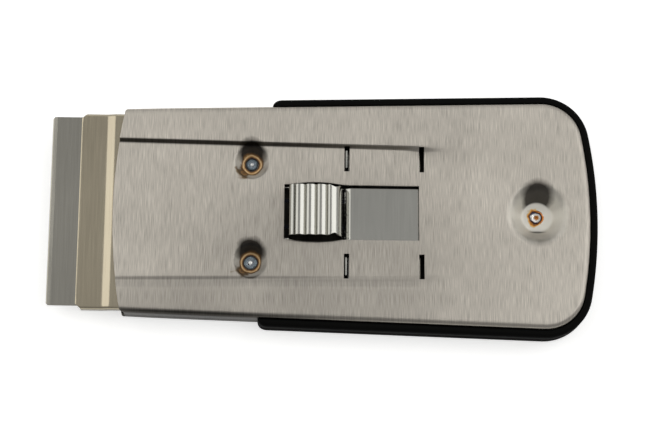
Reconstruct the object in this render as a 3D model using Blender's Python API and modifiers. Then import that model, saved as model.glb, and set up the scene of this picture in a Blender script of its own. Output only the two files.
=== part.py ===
"""Razor blade scraper with a pressed-steel clamshell handle and a sliding blade carrier.

Lengths are in metres. X runs from the cutting edge to the rear of the handle, Y across it
and Z up from the flat underside. Every X below is measured from the cutting edge, and the
datum empty moves the whole part so that its origin is at the middle of its footprint.
"""

import math

import bmesh
import bpy
from mathutils import Vector

# Single-edge razor blade, a standard size
BLADE_LENGTH = 0.0381
BLADE_DEPTH = 0.01905
BLADE_THICKNESS = 0.00023
BLADE_BEVEL_DEPTH = 0.0009
BLADE_EDGE_THICKNESS = 0.00003
BLADE_CORNER_CUT = 0.0004
SPINE_DEPTH = 0.0052
SPINE_THICKNESS = 0.0009
CRIMP_GAP = 0.00005

# Handle shells, pressed from one gauge of sheet
SHELL_SHEET = 0.0005
SHELL_HEIGHT = 0.0067
SHELL_FRONT = 0.01255
SHELL_LENGTH = 0.0940
FRONT_HALF_WIDTH = 0.0205
REAR_HALF_WIDTH = 0.0232
FRONT_ARC_RADIUS = 0.106
REAR_ARC_RADIUS = 0.091
REAR_CORNER_RADIUS = 0.0080
EDGE_BEND_RADIUS = 0.0012
PARTING_HEIGHT = 0.0030
SEAM_GAP = 0.0002
FLANGE_WIDTH = 0.0007
FLANGE_SET_BACK = 0.03395

# Lowered panel that guides the thumb, with the ramp that ends it
RECESS_DEPTH = 0.0009
RECESS_FRONT_HALF_WIDTH = 0.0139
RECESS_REAR_HALF_WIDTH = 0.0128
RECESS_REAR_MARGIN = 0.00005
RAMP_LENGTH = 0.0095
STEP_RUN_FRONT = 0.0004
STEP_RUN_REAR = 0.0008

# Dimples, where the two shells meet and are welded
FRONT_DIMPLE_SET_BACK = 0.0271
FRONT_DIMPLE_Y = 0.00995
FRONT_DIMPLE_FLOOR_RADIUS = 0.0020
FRONT_DIMPLE_MOUTH_RADIUS = 0.0040
REAR_DIMPLE_INSET = 0.01035
REAR_DIMPLE_FLOOR_RADIUS = 0.0030
REAR_DIMPLE_MOUTH_RADIUS = 0.0061
FRONT_WELD_RADIUS = 0.0012
REAR_WELD_RADIUS = 0.0014
WELD_GAP = 0.0002
WELD_PROUD = 0.0001

# Vinyl edge grip pushed over the flanges
GRIP_PROUD = 0.00155
GRIP_BOTTOM = 0.00055
GRIP_TOP = 0.0058
GRIP_CORNER_RADIUS = 0.0008
GRIP_GAP = 0.0002
GRIP_RIGHT_SET_BACK = 0.03105
GRIP_LEFT_SET_BACK = 0.02865
GRIP_NOSE_LENGTH = 0.0018
GRIP_GROOVE_DEPTH = 0.00025
GRIP_GROOVE_WIDTH = 0.0006

# Sliding blade carrier
CARRIER_SHEET = 0.0004
CARRIER_BEND_RADIUS = 0.0006
RUNNING_GAP = 0.0002
BLADE_GAP = 0.0001
LIP_FRONT = 0.00575
LIP_CORNER_CUT = 0.0010
JOG_CLEARANCE = 0.0014
JOG_LENGTH = 0.0016
JOG_RISE = 0.00035
DECK_BEHIND_BLADE = 0.0015
TONGUE_LENGTH = 0.0045
CARRIER_HALF_WIDTH = 0.01972
CARRIER_SIDE_HEIGHT = 0.0020
CARRIER_SIDE_START = 0.0067
BLADE_STOP_Y = 0.0120
BLADE_STOP_WIDTH = 0.0040
BLADE_STOP_GAP = 0.0002
STROKE = 0.01475

# Thumb slide, a spring strip with its button pressed up as a ribbed bridge
STRIP_SHEET = 0.0004
STRIP_HALF_WIDTH = 0.0053
STRIP_WELD_GAP = 0.00015
STRIP_START_GAP = 0.0003
STRIP_COVER = 0.0025
BUTTON_SET_BACK = 0.03455
BUTTON_HALF_WIDTH = 0.00505
BUTTON_TOP = 0.0083
BUTTON_EDGE_RADIUS = 0.00095
BUTTON_EDGE_DROP = 0.0003
VALLEY_SET_BACK = 0.00104
RIB_PITCH = 0.00212
RIB_RADIUS = 0.00178
RIB_COUNT = 3
LOBE_SET_BACK = 0.00085
LOBE_RADIUS = 0.0015
FILLET_RADIUS = 0.0016
LOBE_SLOPE = math.radians(63)
SLIDE_WELD_RADIUS = 0.0010
SLIDE_WELD_Y = 0.0027

# Window and locking slots in the lowered panel
WINDOW_FRONT_GAP = 0.0010
WINDOW_REAR_GAP = 0.0002
WINDOW_SIDE_GAP = 0.00024
WINDOW_BULGE = 0.0005
SLOT_SET_BACK = 0.01132
SLOT_WIDTH = 0.00105
SLOT_LENGTH = 0.0050
SLOT_Y = 0.01083

# Lock spring, a plate with two upturned tabs that stand in the slots
SPRING_SHEET = 0.0003
SPRING_GAP = 0.0002
SPRING_HALF_WIDTH = 0.0030
SPRING_FOOT_LEAD = 0.0161
SPRING_FOOT_GAP = 0.0003
SPRING_FOOT_RISE = 0.0006
SPRING_BEND_LEAD = 0.0051
SPRING_WELD_LEAD = 0.0031
SPRING_WELD_RADIUS = 0.0009
PLATE_HALF_WIDTH = 0.0130
PLATE_LENGTH = 0.0146
TAB_WIDTH = 0.00355
TAB_OFFSET = 0.0002
TAB_BELOW_PANEL = 0.00005

# Fineness of the round shapes, and how far a cutter runs past what it cuts
CORNER_STEPS = 9
ARC_STEPS = 10
BEND_STEPS = 3
RIB_STEPS = 6
ROUND_STEPS = 28
WELD_STEPS = 16
OVERRUN = 0.0020
TOLERANCE = 0.000001
SHARP_ANGLE = math.radians(32)

# Heights that follow from the sizes above
PANEL_TOP = SHELL_HEIGHT - RECESS_DEPTH
PANEL_UNDERSIDE = PANEL_TOP - SHELL_SHEET
DECK_TOP = PANEL_UNDERSIDE - RUNNING_GAP
DECK_UNDERSIDE = DECK_TOP - CARRIER_SHEET
LIP_UNDERSIDE = DECK_UNDERSIDE - JOG_RISE
LIP_TOP = LIP_UNDERSIDE + CARRIER_SHEET
BLADE_MIDDLE = LIP_UNDERSIDE - BLADE_GAP - BLADE_THICKNESS / 2
STRIP_TOP = DECK_UNDERSIDE - STRIP_WELD_GAP
STRIP_MIDDLE = STRIP_TOP - STRIP_SHEET / 2
STRIP_UNDERSIDE = STRIP_TOP - STRIP_SHEET
SPRING_TOP = STRIP_UNDERSIDE - SPRING_GAP
SPRING_UNDERSIDE = SPRING_TOP - SPRING_SHEET
TOP_FLANGE_UNDERSIDE = PARTING_HEIGHT + SEAM_GAP / 2
BOTTOM_FLANGE_TOP = PARTING_HEIGHT - SEAM_GAP / 2
TOP_DIMPLE_FLOOR = TOP_FLANGE_UNDERSIDE + SHELL_SHEET
BOTTOM_DIMPLE_FLOOR = BOTTOM_FLANGE_TOP - SHELL_SHEET

# Lengths that follow from the sizes above
SHELL_REAR = SHELL_FRONT + SHELL_LENGTH
FRONT_DIMPLE_X = SHELL_FRONT + FRONT_DIMPLE_SET_BACK
REAR_DIMPLE_X = SHELL_REAR - REAR_DIMPLE_INSET
FLANGE_START = SHELL_FRONT + FLANGE_SET_BACK
GRIP_RIGHT_END = SHELL_FRONT + GRIP_RIGHT_SET_BACK
GRIP_LEFT_END = SHELL_FRONT + GRIP_LEFT_SET_BACK
TAPER = (REAR_HALF_WIDTH - FRONT_HALF_WIDTH) / SHELL_LENGTH
OVERALL_LENGTH = SHELL_REAR + GRIP_PROUD
JOG_START = BLADE_DEPTH - SPINE_DEPTH - JOG_CLEARANCE - JOG_LENGTH
DECK_END = BLADE_DEPTH + DECK_BEHIND_BLADE
TONGUE_END = DECK_END + TONGUE_LENGTH
STRIP_START = DECK_END + STRIP_START_GAP
HINGE_X = (STRIP_START + TONGUE_END) / 2
BUTTON_FRONT = SHELL_FRONT + BUTTON_SET_BACK
VALLEY_START = BUTTON_FRONT + VALLEY_SET_BACK
LOBE_X = VALLEY_START + RIB_PITCH * RIB_COUNT + LOBE_SET_BACK
LOBE_BOTTOM = BUTTON_TOP - LOBE_RADIUS * (1 - math.cos(LOBE_SLOPE))
FILLET_TOP = STRIP_TOP + FILLET_RADIUS * (1 - math.cos(LOBE_SLOPE))
SLOPE_RUN = (LOBE_BOTTOM - FILLET_TOP) / math.tan(LOBE_SLOPE)
BUTTON_REAR = LOBE_X + LOBE_RADIUS * math.sin(LOBE_SLOPE) + SLOPE_RUN
BUTTON_LENGTH = BUTTON_REAR - BUTTON_FRONT
WINDOW_FRONT = BUTTON_FRONT - WINDOW_FRONT_GAP
WINDOW_REAR = BUTTON_REAR + STROKE + WINDOW_REAR_GAP
RECESS_FLAT_END = WINDOW_REAR + RECESS_REAR_MARGIN
STRIP_END = WINDOW_REAR + STRIP_COVER
WINDOW_HALF_WIDTH = STRIP_HALF_WIDTH + WINDOW_SIDE_GAP
SLOT_X = BUTTON_FRONT + SLOT_SET_BACK
TAB_X = SLOT_X + TAB_OFFSET
PLATE_START = TAB_X - SPRING_SHEET / 2
PLATE_END = PLATE_START + PLATE_LENGTH
SPRING_FOOT_X = BUTTON_FRONT - SPRING_FOOT_LEAD
SPRING_BEND_X = BUTTON_FRONT - SPRING_BEND_LEAD
SPRING_WELD_X = BUTTON_FRONT - SPRING_WELD_LEAD


def clear_scene():
    """Remove every object of the open scene."""
    for item in list(bpy.data.objects):
        bpy.data.objects.remove(item, do_unlink=True)


def make_collection(name):
    """Make a collection and link it to the scene."""
    made = bpy.data.collections.new(name)
    bpy.context.scene.collection.children.link(made)
    return made


def make_material(name, colour, roughness, metallic):
    """Make a material from one Principled shader."""
    made = bpy.data.materials.new(name)
    made.use_nodes = True
    shader = made.node_tree.nodes["Principled BSDF"]
    shader.inputs["Base Color"].default_value = (*colour, 1.0)
    shader.inputs["Roughness"].default_value = roughness
    shader.inputs["Metallic"].default_value = metallic
    return made


def make_empty(name, location, parent, group):
    """Make the empty that carries the pieces of one body."""
    made = bpy.data.objects.new(name, None)
    made.location = location
    made.parent = parent
    made.empty_display_size = SHELL_HEIGHT
    group.objects.link(made)
    return made


def make_object(name, shape, group):
    """Turn a bmesh into an object in a collection, with its faces pointing out."""
    bmesh.ops.recalc_face_normals(shape, faces=shape.faces)
    mesh = bpy.data.meshes.new(name)
    shape.to_mesh(mesh)
    shape.free()
    made = bpy.data.objects.new(name, mesh)
    group.objects.link(made)
    return made


def extrude(name, base, travel, group):
    """Extrude a closed loop of points along a vector."""
    shape = bmesh.new()
    face = shape.faces.new([shape.verts.new(point) for point in base])
    grown = bmesh.ops.extrude_face_region(shape, geom=[face])
    raised = [item for item in grown["geom"] if isinstance(item, bmesh.types.BMVert)]
    bmesh.ops.translate(shape, verts=raised, vec=travel)
    return make_object(name, shape, group)


def prism(name, outline, low, high, group):
    """Extrude a plan outline upwards from one height to another."""
    return extrude(name, [(x, y, low) for x, y in outline], (0, 0, high - low), group)


def side_prism(name, outline, half_width, group):
    """Extrude a side-view outline across the part, evenly to both sides."""
    base = [(x, -half_width, z) for x, z in outline]
    return extrude(name, base, (0, half_width + half_width, 0), group)


def box(name, low, high, group):
    """Make a box from its lowest and its highest corner."""
    outline = [(low[0], low[1]), (high[0], low[1]), (high[0], high[1]), (low[0], high[1])]
    return prism(name, outline, low[2], high[2], group)


def round_edges(item, radius, chosen):
    """Round the edges for whose two ends the chosen test holds."""
    shape = bmesh.new()
    shape.from_mesh(item.data)
    edges = [edge for edge in shape.edges if chosen(*(vert.co for vert in edge.verts))]
    bmesh.ops.bevel(
        shape,
        geom=edges,
        offset=radius,
        segments=BEND_STEPS,
        profile=0.5,
        affect="EDGES",
        clamp_overlap=True,
        material=-1,
    )
    shape.to_mesh(item.data)
    shape.free()
    return item


def at_height(height):
    """Test for edges that lie at one height."""
    return lambda a, b: max(abs(a.z - height), abs(b.z - height)) < TOLERANCE


def along_side_above(height):
    """Test for edges that lie in one side face, above a height."""
    return lambda a, b: min(a.z, b.z) > height + TOLERANCE and abs(a.y - b.y) < TOLERANCE


def turned(name, profile, centre, steps, group):
    """Turn a profile of radii and heights, top to bottom, round the vertical through a point."""
    line = bmesh.new()
    points = [line.verts.new((radius, 0, height)) for radius, height in profile]
    for pair in zip(points, points[1:]):
        line.edges.new(pair)
    mesh = bpy.data.meshes.new(name)
    line.to_mesh(mesh)
    line.free()
    made = bpy.data.objects.new(name, mesh)
    made.location = (centre[0], centre[1], 0)
    group.objects.link(made)
    screw = made.modifiers.new("turn", "SCREW")
    screw.axis = "Z"
    screw.steps = steps
    screw.render_steps = steps
    screw.use_merge_vertices = True
    screw.merge_threshold = TOLERANCE
    return made


def disc(name, centre, radius, low, high, group):
    """Make an upright cylinder."""
    profile = [(0, high), (radius, high), (radius, low), (0, low)]
    return turned(name, profile, centre, WELD_STEPS, group)


def bent_strip(name, path, half_widths, sheet, group):
    """Sweep the side-view path of a sheet's middle across its width and thicken it."""
    shape = bmesh.new()
    points = [shape.verts.new((x, -half, z)) for (x, z), half in zip(path, half_widths)]
    edges = [shape.edges.new(pair) for pair in zip(points, points[1:])]
    grown = bmesh.ops.extrude_edge_only(shape, edges=edges)
    for item in grown["geom"]:
        if isinstance(item, bmesh.types.BMVert):
            item.co.y = -item.co.y
    made = make_object(name, shape, group)
    wall = made.modifiers.new("sheet", "SOLIDIFY")
    wall.thickness = sheet
    wall.offset = 0
    wall.use_even_offset = True
    return made


def combine(target, operation, *others):
    """Add one Boolean to the target for each of the other objects."""
    for other in others:
        other.hide_render = True
        other.display_type = "WIRE"
        step = target.modifiers.new(other.name, "BOOLEAN")
        step.operation = operation
        step.solver = "EXACT"
        step.object = other
    return target


def dress(item, material, parent):
    """Give a finished piece its material and hang it on the empty of its body."""
    item.data.materials.append(material)
    item.data.shade_smooth()
    item.data.set_sharp_from_angle(angle=SHARP_ANGLE)
    item.parent = parent
    while parent.parent is not None:
        item.location -= parent.location
        parent = parent.parent


def arc_points(centre, radius, start, end, steps):
    """Points along an arc from one angle to another."""
    angles = [start + (end - start) * step / steps for step in range(steps + 1)]
    return [
        (centre[0] + radius * math.cos(angle), centre[1] + radius * math.sin(angle))
        for angle in angles
    ]


def half_width_at(x):
    """Half width of the shells at a distance from the cutting edge."""
    return FRONT_HALF_WIDTH + (x - SHELL_FRONT) * TAPER


def rear_corner_centre():
    """Centre of the rear corner's arc, which touches the side line and the rear arc."""
    offset = half_width_at(0) - REAR_CORNER_RADIUS * math.hypot(1, TAPER)
    middle = SHELL_REAR - REAR_ARC_RADIUS
    reach = REAR_ARC_RADIUS - REAR_CORNER_RADIUS
    lead = 1 + TAPER * TAPER
    half_turn = middle - TAPER * offset
    rest = middle * middle + offset * offset - reach * reach
    x = (half_turn + math.sqrt(half_turn * half_turn - lead * rest)) / lead
    return x, offset + TAPER * x


def rear_path(grow):
    """Rear of the shells' outline from the left side round to the right, grown outwards."""
    corner_x, corner_y = rear_corner_centre()
    middle = SHELL_REAR - REAR_ARC_RADIUS
    side = math.pi / 2 + math.atan(TAPER)
    rear = math.atan2(corner_y, corner_x - middle)
    radius = REAR_CORNER_RADIUS + grow
    left = arc_points((corner_x, -corner_y), radius, -side, -rear, CORNER_STEPS)
    end = arc_points((middle, 0), REAR_ARC_RADIUS + grow, -rear, rear, ARC_STEPS)
    right = arc_points((corner_x, corner_y), radius, rear, side, CORNER_STEPS)
    return left + end[1:-1] + right


def shell_outline(grow, front):
    """Closed outline of the shells, grown outwards, with a straight front at a given X."""
    half = half_width_at(front) + grow
    return [(front, half), (front, -half)] + rear_path(grow)


def front_cutter(name, group):
    """Form that trims the shells' front edges to their shallow arc."""
    reach = FRONT_HALF_WIDTH + OVERRUN
    centre = (SHELL_FRONT + FRONT_ARC_RADIUS, 0)
    swing = math.asin(reach / FRONT_ARC_RADIUS)
    arc = arc_points(centre, FRONT_ARC_RADIUS, math.pi - swing, math.pi + swing, ARC_STEPS)
    ahead = SHELL_FRONT - reach
    outline = [(ahead, -reach), (ahead, reach)] + arc
    return prism(name, outline, -OVERRUN, SHELL_HEIGHT + OVERRUN, group)


def recess_form(name, grow, group):
    """Lowered panel with its sloping sides and rear ramp, as a solid above the panel."""
    ends = [
        (LIP_FRONT, RECESS_FRONT_HALF_WIDTH, STEP_RUN_FRONT / RECESS_DEPTH),
        (RECESS_FLAT_END, RECESS_REAR_HALF_WIDTH, STEP_RUN_REAR / RECESS_DEPTH),
    ]
    floor = PANEL_TOP - grow
    ceiling = SHELL_HEIGHT + OVERRUN
    ramp_run = (ceiling - floor) * RAMP_LENGTH / RECESS_DEPTH
    shape = bmesh.new()
    for x, half, slope in ends:
        lean = math.hypot(1, slope)
        low_half = half + grow * (lean - slope)
        high_half = half + grow * lean + slope * (ceiling - PANEL_TOP)
        for sign in (-1, 1):
            shape.verts.new((x, sign * low_half, floor))
            shape.verts.new((x, sign * high_half, ceiling))
    for sign in (-1, 1):
        shape.verts.new((RECESS_FLAT_END + ramp_run, sign * low_half, ceiling))
        shape.verts.new((RECESS_FLAT_END + ramp_run / 2, sign * high_half, ceiling))
    bmesh.ops.convex_hull(shape, input=shape.verts)
    return make_object(name, shape, group)


def dimple_profile(floor, floor_radius, mouth, mouth_radius, grow, end):
    """Radii and heights of a dimple's cone from its floor past its mouth to an end."""
    side = 1 if mouth > floor else -1
    slope = (mouth_radius - floor_radius) / abs(mouth - floor)
    lean = math.hypot(1, slope)
    foot_radius = floor_radius + grow * (lean - slope)
    foot = floor - side * grow
    wide_radius = mouth_radius + grow
    wide = foot + side * (wide_radius - foot_radius) / slope
    points = [(0, end), (wide_radius, end), (wide_radius, wide), (foot_radius, foot), (0, foot)]
    return points if side > 0 else points[::-1]


def top_dimples(tag, grow, group):
    """Forms of the three dimples in the top shell, grown by its sheet or not."""
    end = SHELL_HEIGHT + OVERRUN
    front = dimple_profile(
        TOP_DIMPLE_FLOOR,
        FRONT_DIMPLE_FLOOR_RADIUS,
        PANEL_TOP,
        FRONT_DIMPLE_MOUTH_RADIUS,
        grow,
        end,
    )
    rear = dimple_profile(
        TOP_DIMPLE_FLOOR,
        REAR_DIMPLE_FLOOR_RADIUS,
        SHELL_HEIGHT,
        REAR_DIMPLE_MOUTH_RADIUS,
        grow,
        end,
    )
    return dimples(tag, front, rear, group)


def bottom_dimples(tag, grow, group):
    """Forms of the three dimples in the bottom shell, whose sides slope by 45 degrees."""
    depth = BOTTOM_DIMPLE_FLOOR
    front_mouth = FRONT_DIMPLE_FLOOR_RADIUS + depth
    rear_mouth = REAR_DIMPLE_FLOOR_RADIUS + depth
    front = dimple_profile(depth, FRONT_DIMPLE_FLOOR_RADIUS, 0, front_mouth, grow, -OVERRUN)
    rear = dimple_profile(depth, REAR_DIMPLE_FLOOR_RADIUS, 0, rear_mouth, grow, -OVERRUN)
    return dimples(tag, front, rear, group)


def dimples(tag, front, rear, group):
    """Turn the front profile at the two front places and the rear one at the rear."""
    return [
        turned(f"{tag}_right", front, (FRONT_DIMPLE_X, FRONT_DIMPLE_Y), ROUND_STEPS, group),
        turned(f"{tag}_left", front, (FRONT_DIMPLE_X, -FRONT_DIMPLE_Y), ROUND_STEPS, group),
        turned(f"{tag}_rear", rear, (REAR_DIMPLE_X, 0), ROUND_STEPS, group),
    ]


def shell_welds():
    """Name, centre and radius of each spot weld between the shells."""
    return [
        ("front_right_weld", (FRONT_DIMPLE_X, FRONT_DIMPLE_Y), FRONT_WELD_RADIUS),
        ("front_left_weld", (FRONT_DIMPLE_X, -FRONT_DIMPLE_Y), FRONT_WELD_RADIUS),
        ("rear_weld", (REAR_DIMPLE_X, 0), REAR_WELD_RADIUS),
    ]


def shell_weld_holes(tag, group):
    """Holes for the spot welds through the dimple floors."""
    return [
        disc(f"{tag}_{name}", centre, radius + WELD_GAP, -OVERRUN, PANEL_TOP, group)
        for name, centre, radius in shell_welds()
    ]


def slide_welds():
    """Name and centre of each spot weld between the carrier and the thumb slide."""
    return [
        ("right_slide_weld", (HINGE_X, SLIDE_WELD_Y)),
        ("left_slide_weld", (HINGE_X, -SLIDE_WELD_Y)),
    ]


def slide_weld_holes(tag, group):
    """Holes for the spot welds through the carrier's tongue and the strip."""
    radius = SLIDE_WELD_RADIUS + WELD_GAP
    return [
        disc(f"{tag}_{name}", centre, radius, SPRING_TOP, PANEL_TOP, group)
        for name, centre in slide_welds()
    ]


def spring_weld_hole(tag, group):
    """Hole for the spot weld through the strip and the lock spring."""
    radius = SPRING_WELD_RADIUS + WELD_GAP
    centre = (SPRING_WELD_X, 0)
    return disc(f"{tag}_spring_weld", centre, radius, PARTING_HEIGHT, PANEL_TOP, group)


def flange(name, low, group):
    """Outward flange along the gripped part of a shell's edge."""
    outline = shell_outline(FLANGE_WIDTH, FLANGE_START)
    return prism(name, outline, low, low + SHELL_SHEET, group)


def window_outline():
    """Thumb window, with its long edges bowed out where the button lies at rest."""
    radius = (BUTTON_LENGTH * BUTTON_LENGTH / 4 + WINDOW_BULGE * WINDOW_BULGE) / (
        WINDOW_BULGE + WINDOW_BULGE
    )
    swing = math.asin(BUTTON_LENGTH / 2 / radius)
    middle = (BUTTON_FRONT + BUTTON_REAR) / 2
    centre = (middle, WINDOW_HALF_WIDTH + WINDOW_BULGE - radius)
    up = math.pi / 2
    right = arc_points(centre, radius, up - swing, up + swing, ARC_STEPS)
    left = [(x, -y) for x, y in reversed(right)]
    front = [(WINDOW_FRONT, WINDOW_HALF_WIDTH), (WINDOW_FRONT, -WINDOW_HALF_WIDTH)]
    rear = [(WINDOW_REAR, -WINDOW_HALF_WIDTH), (WINDOW_REAR, WINDOW_HALF_WIDTH)]
    return right + front + left + rear


def lock_slots(group):
    """The two front and two rear slots for the lock tabs."""
    made = []
    for place, x in (("front", SLOT_X), ("rear", SLOT_X + STROKE)):
        for side, y in (("right", SLOT_Y), ("left", -SLOT_Y)):
            low = (x - SLOT_WIDTH / 2, y - SLOT_LENGTH / 2, DECK_TOP)
            high = (x + SLOT_WIDTH / 2, y + SLOT_LENGTH / 2, SHELL_HEIGHT)
            made.append(box(f"{place}_{side}_slot", low, high, group))
    return made


def build_top_shell(parts, cutters, material, datum):
    """Upper pressing with its panel, dimples, thumb window, slots and flange."""
    low = TOP_FLANGE_UNDERSIDE
    shell = prism("top_shell", shell_outline(0, LIP_FRONT), low, SHELL_HEIGHT, parts)
    round_edges(shell, EDGE_BEND_RADIUS, at_height(SHELL_HEIGHT))
    ceiling = SHELL_HEIGHT - SHELL_SHEET
    outline = shell_outline(-SHELL_SHEET, LIP_FRONT - OVERRUN)
    hollow = prism("top_hollow", outline, low - OVERRUN, ceiling, cutters)
    round_edges(hollow, EDGE_BEND_RADIUS - SHELL_SHEET, at_height(ceiling))
    combine(hollow, "DIFFERENCE", recess_form("panel_sheet", SHELL_SHEET, cutters))
    combine(hollow, "DIFFERENCE", *top_dimples("top_dimple_sheet", SHELL_SHEET, cutters))
    combine(shell, "UNION", flange("top_flange", low, cutters))
    combine(shell, "DIFFERENCE", recess_form("panel_cut", 0, cutters))
    combine(shell, "DIFFERENCE", *top_dimples("top_dimple_cut", 0, cutters))
    combine(shell, "DIFFERENCE", hollow, front_cutter("top_front_cut", cutters))
    window = prism("window_cut", window_outline(), DECK_TOP, SHELL_HEIGHT, cutters)
    combine(shell, "DIFFERENCE", window, *lock_slots(cutters))
    combine(shell, "DIFFERENCE", *shell_weld_holes("top_hole", cutters))
    dress(shell, material, datum)


def build_bottom_shell(parts, cutters, material, datum):
    """Lower pressing with its raised dimples and flange."""
    high = BOTTOM_FLANGE_TOP
    shell = prism("bottom_shell", shell_outline(0, LIP_FRONT), 0, high, parts)
    round_edges(shell, EDGE_BEND_RADIUS, at_height(0))
    outline = shell_outline(-SHELL_SHEET, LIP_FRONT - OVERRUN)
    hollow = prism("bottom_hollow", outline, SHELL_SHEET, high + OVERRUN, cutters)
    round_edges(hollow, EDGE_BEND_RADIUS - SHELL_SHEET, at_height(SHELL_SHEET))
    combine(hollow, "DIFFERENCE", *bottom_dimples("low_dimple_sheet", SHELL_SHEET, cutters))
    combine(shell, "UNION", flange("bottom_flange", high - SHELL_SHEET, cutters))
    combine(shell, "DIFFERENCE", *bottom_dimples("low_dimple_cut", 0, cutters))
    combine(shell, "DIFFERENCE", hollow, front_cutter("bottom_front_cut", cutters))
    combine(shell, "DIFFERENCE", *shell_weld_holes("bottom_hole", cutters))
    dress(shell, material, datum)


def grip_nose(end_x, side):
    """Rounded front end of the grip on one side, from the wall outwards."""
    inner = half_width_at(end_x)
    outer = half_width_at(end_x + GRIP_NOSE_LENGTH) + GRIP_PROUD
    quarter = arc_points((0, 0), 1, math.pi, math.pi / 2, CORNER_STEPS)
    return [
        (end_x + GRIP_NOSE_LENGTH * (1 + x), side * (inner + (outer - inner) * y))
        for x, y in quarter
    ]


def build_edge_grip(parts, cutters, material, datum):
    """Black vinyl channel that wraps the flanges and cushions the hand."""
    right_nose = grip_nose(GRIP_RIGHT_END, 1)[::-1]
    outline = grip_nose(GRIP_LEFT_END, -1) + rear_path(GRIP_PROUD) + right_nose
    grip = prism("edge_grip", outline, GRIP_BOTTOM, GRIP_TOP, parts)
    round_edges(grip, GRIP_CORNER_RADIUS, at_height(GRIP_TOP))
    round_edges(grip, GRIP_CORNER_RADIUS, at_height(GRIP_BOTTOM))
    inside = prism(
        "grip_inside",
        shell_outline(GRIP_GAP, SHELL_FRONT),
        -OVERRUN,
        SHELL_HEIGHT + OVERRUN,
        cutters,
    )
    channel = prism(
        "grip_channel",
        shell_outline(FLANGE_WIDTH + GRIP_GAP, FLANGE_START - GRIP_GAP),
        BOTTOM_FLANGE_TOP - SHELL_SHEET - GRIP_GAP,
        TOP_FLANGE_UNDERSIDE + SHELL_SHEET + GRIP_GAP,
        cutters,
    )
    groove = prism(
        "grip_groove",
        shell_outline(GRIP_PROUD + OVERRUN, SHELL_FRONT),
        PARTING_HEIGHT - GRIP_GROOVE_WIDTH / 2,
        PARTING_HEIGHT + GRIP_GROOVE_WIDTH / 2,
        cutters,
    )
    core = prism(
        "grip_groove_core",
        shell_outline(GRIP_PROUD - GRIP_GROOVE_DEPTH, LIP_FRONT),
        -OVERRUN,
        SHELL_HEIGHT,
        cutters,
    )
    combine(groove, "DIFFERENCE", core)
    combine(grip, "DIFFERENCE", inside, channel, groove)
    dress(grip, material, datum)


def build_shell_welds(parts, material, datum):
    """The three spot welds that hold the shells together."""
    low = BOTTOM_DIMPLE_FLOOR - WELD_PROUD
    high = TOP_DIMPLE_FLOOR + WELD_PROUD
    for name, centre, radius in shell_welds():
        dress(disc(name, centre, radius, low, high, parts), material, datum)


def carrier_outline(start, end, foot, drop):
    """Side view of the carrier's pan, whose top steps up behind the lip."""
    return [
        (start, foot),
        (start, LIP_TOP - drop),
        (JOG_START, LIP_TOP - drop),
        (JOG_START + JOG_LENGTH, DECK_TOP - drop),
        (end, DECK_TOP - drop),
        (end, foot),
    ]


def build_blade_carrier(parts, cutters, material, datum):
    """Folded sheet that holds the blade: lip, jog, deck, sides, tongue and blade stops."""
    half = CARRIER_HALF_WIDTH
    foot = LIP_TOP - CARRIER_SIDE_HEIGHT
    outline = carrier_outline(CARRIER_SIDE_START, DECK_END, foot, 0)
    carrier = side_prism("blade_carrier", outline, half, parts)
    round_edges(carrier, CARRIER_BEND_RADIUS, along_side_above(foot))
    start = CARRIER_SIDE_START - OVERRUN
    outline = carrier_outline(start, DECK_END + OVERRUN, foot - OVERRUN, CARRIER_SHEET)
    inside = side_prism("carrier_inside", outline, half - CARRIER_SHEET, cutters)
    inner_bend = CARRIER_BEND_RADIUS - CARRIER_SHEET
    round_edges(inside, inner_bend, along_side_above(foot))
    cut = LIP_CORNER_CUT
    lip_outline = [
        (LIP_FRONT, cut - half),
        (LIP_FRONT + cut, -half),
        (CARRIER_SIDE_START + CARRIER_SHEET / 2, -half),
        (CARRIER_SIDE_START + CARRIER_SHEET / 2, half),
        (LIP_FRONT + cut, half),
        (LIP_FRONT, half - cut),
    ]
    lip = prism("carrier_lip", lip_outline, LIP_UNDERSIDE, LIP_TOP, cutters)
    tongue = box(
        "carrier_tongue",
        (DECK_END - CARRIER_SHEET, -STRIP_HALF_WIDTH, DECK_UNDERSIDE),
        (TONGUE_END, STRIP_HALF_WIDTH, DECK_TOP),
        cutters,
    )
    combine(carrier, "DIFFERENCE", inside)
    combine(carrier, "UNION", lip, tongue)
    stop_x = BLADE_DEPTH + BLADE_STOP_GAP
    for name, y in (("right_stop", BLADE_STOP_Y), ("left_stop", -BLADE_STOP_Y)):
        low = (stop_x, y - BLADE_STOP_WIDTH / 2, BLADE_MIDDLE - SPINE_THICKNESS / 2)
        high = (stop_x + CARRIER_SHEET, y + BLADE_STOP_WIDTH / 2, DECK_TOP - CARRIER_SHEET / 2)
        combine(carrier, "UNION", box(name, low, high, cutters))
    combine(carrier, "DIFFERENCE", *slide_weld_holes("carrier_hole", cutters))
    dress(carrier, material, datum)


def build_slide_welds(parts, material, datum):
    """The spot welds on the carrier's tongue."""
    for name, centre in slide_welds():
        weld = disc(name, centre, SLIDE_WELD_RADIUS, STRIP_UNDERSIDE, DECK_TOP, parts)
        dress(weld, material, datum)


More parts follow.
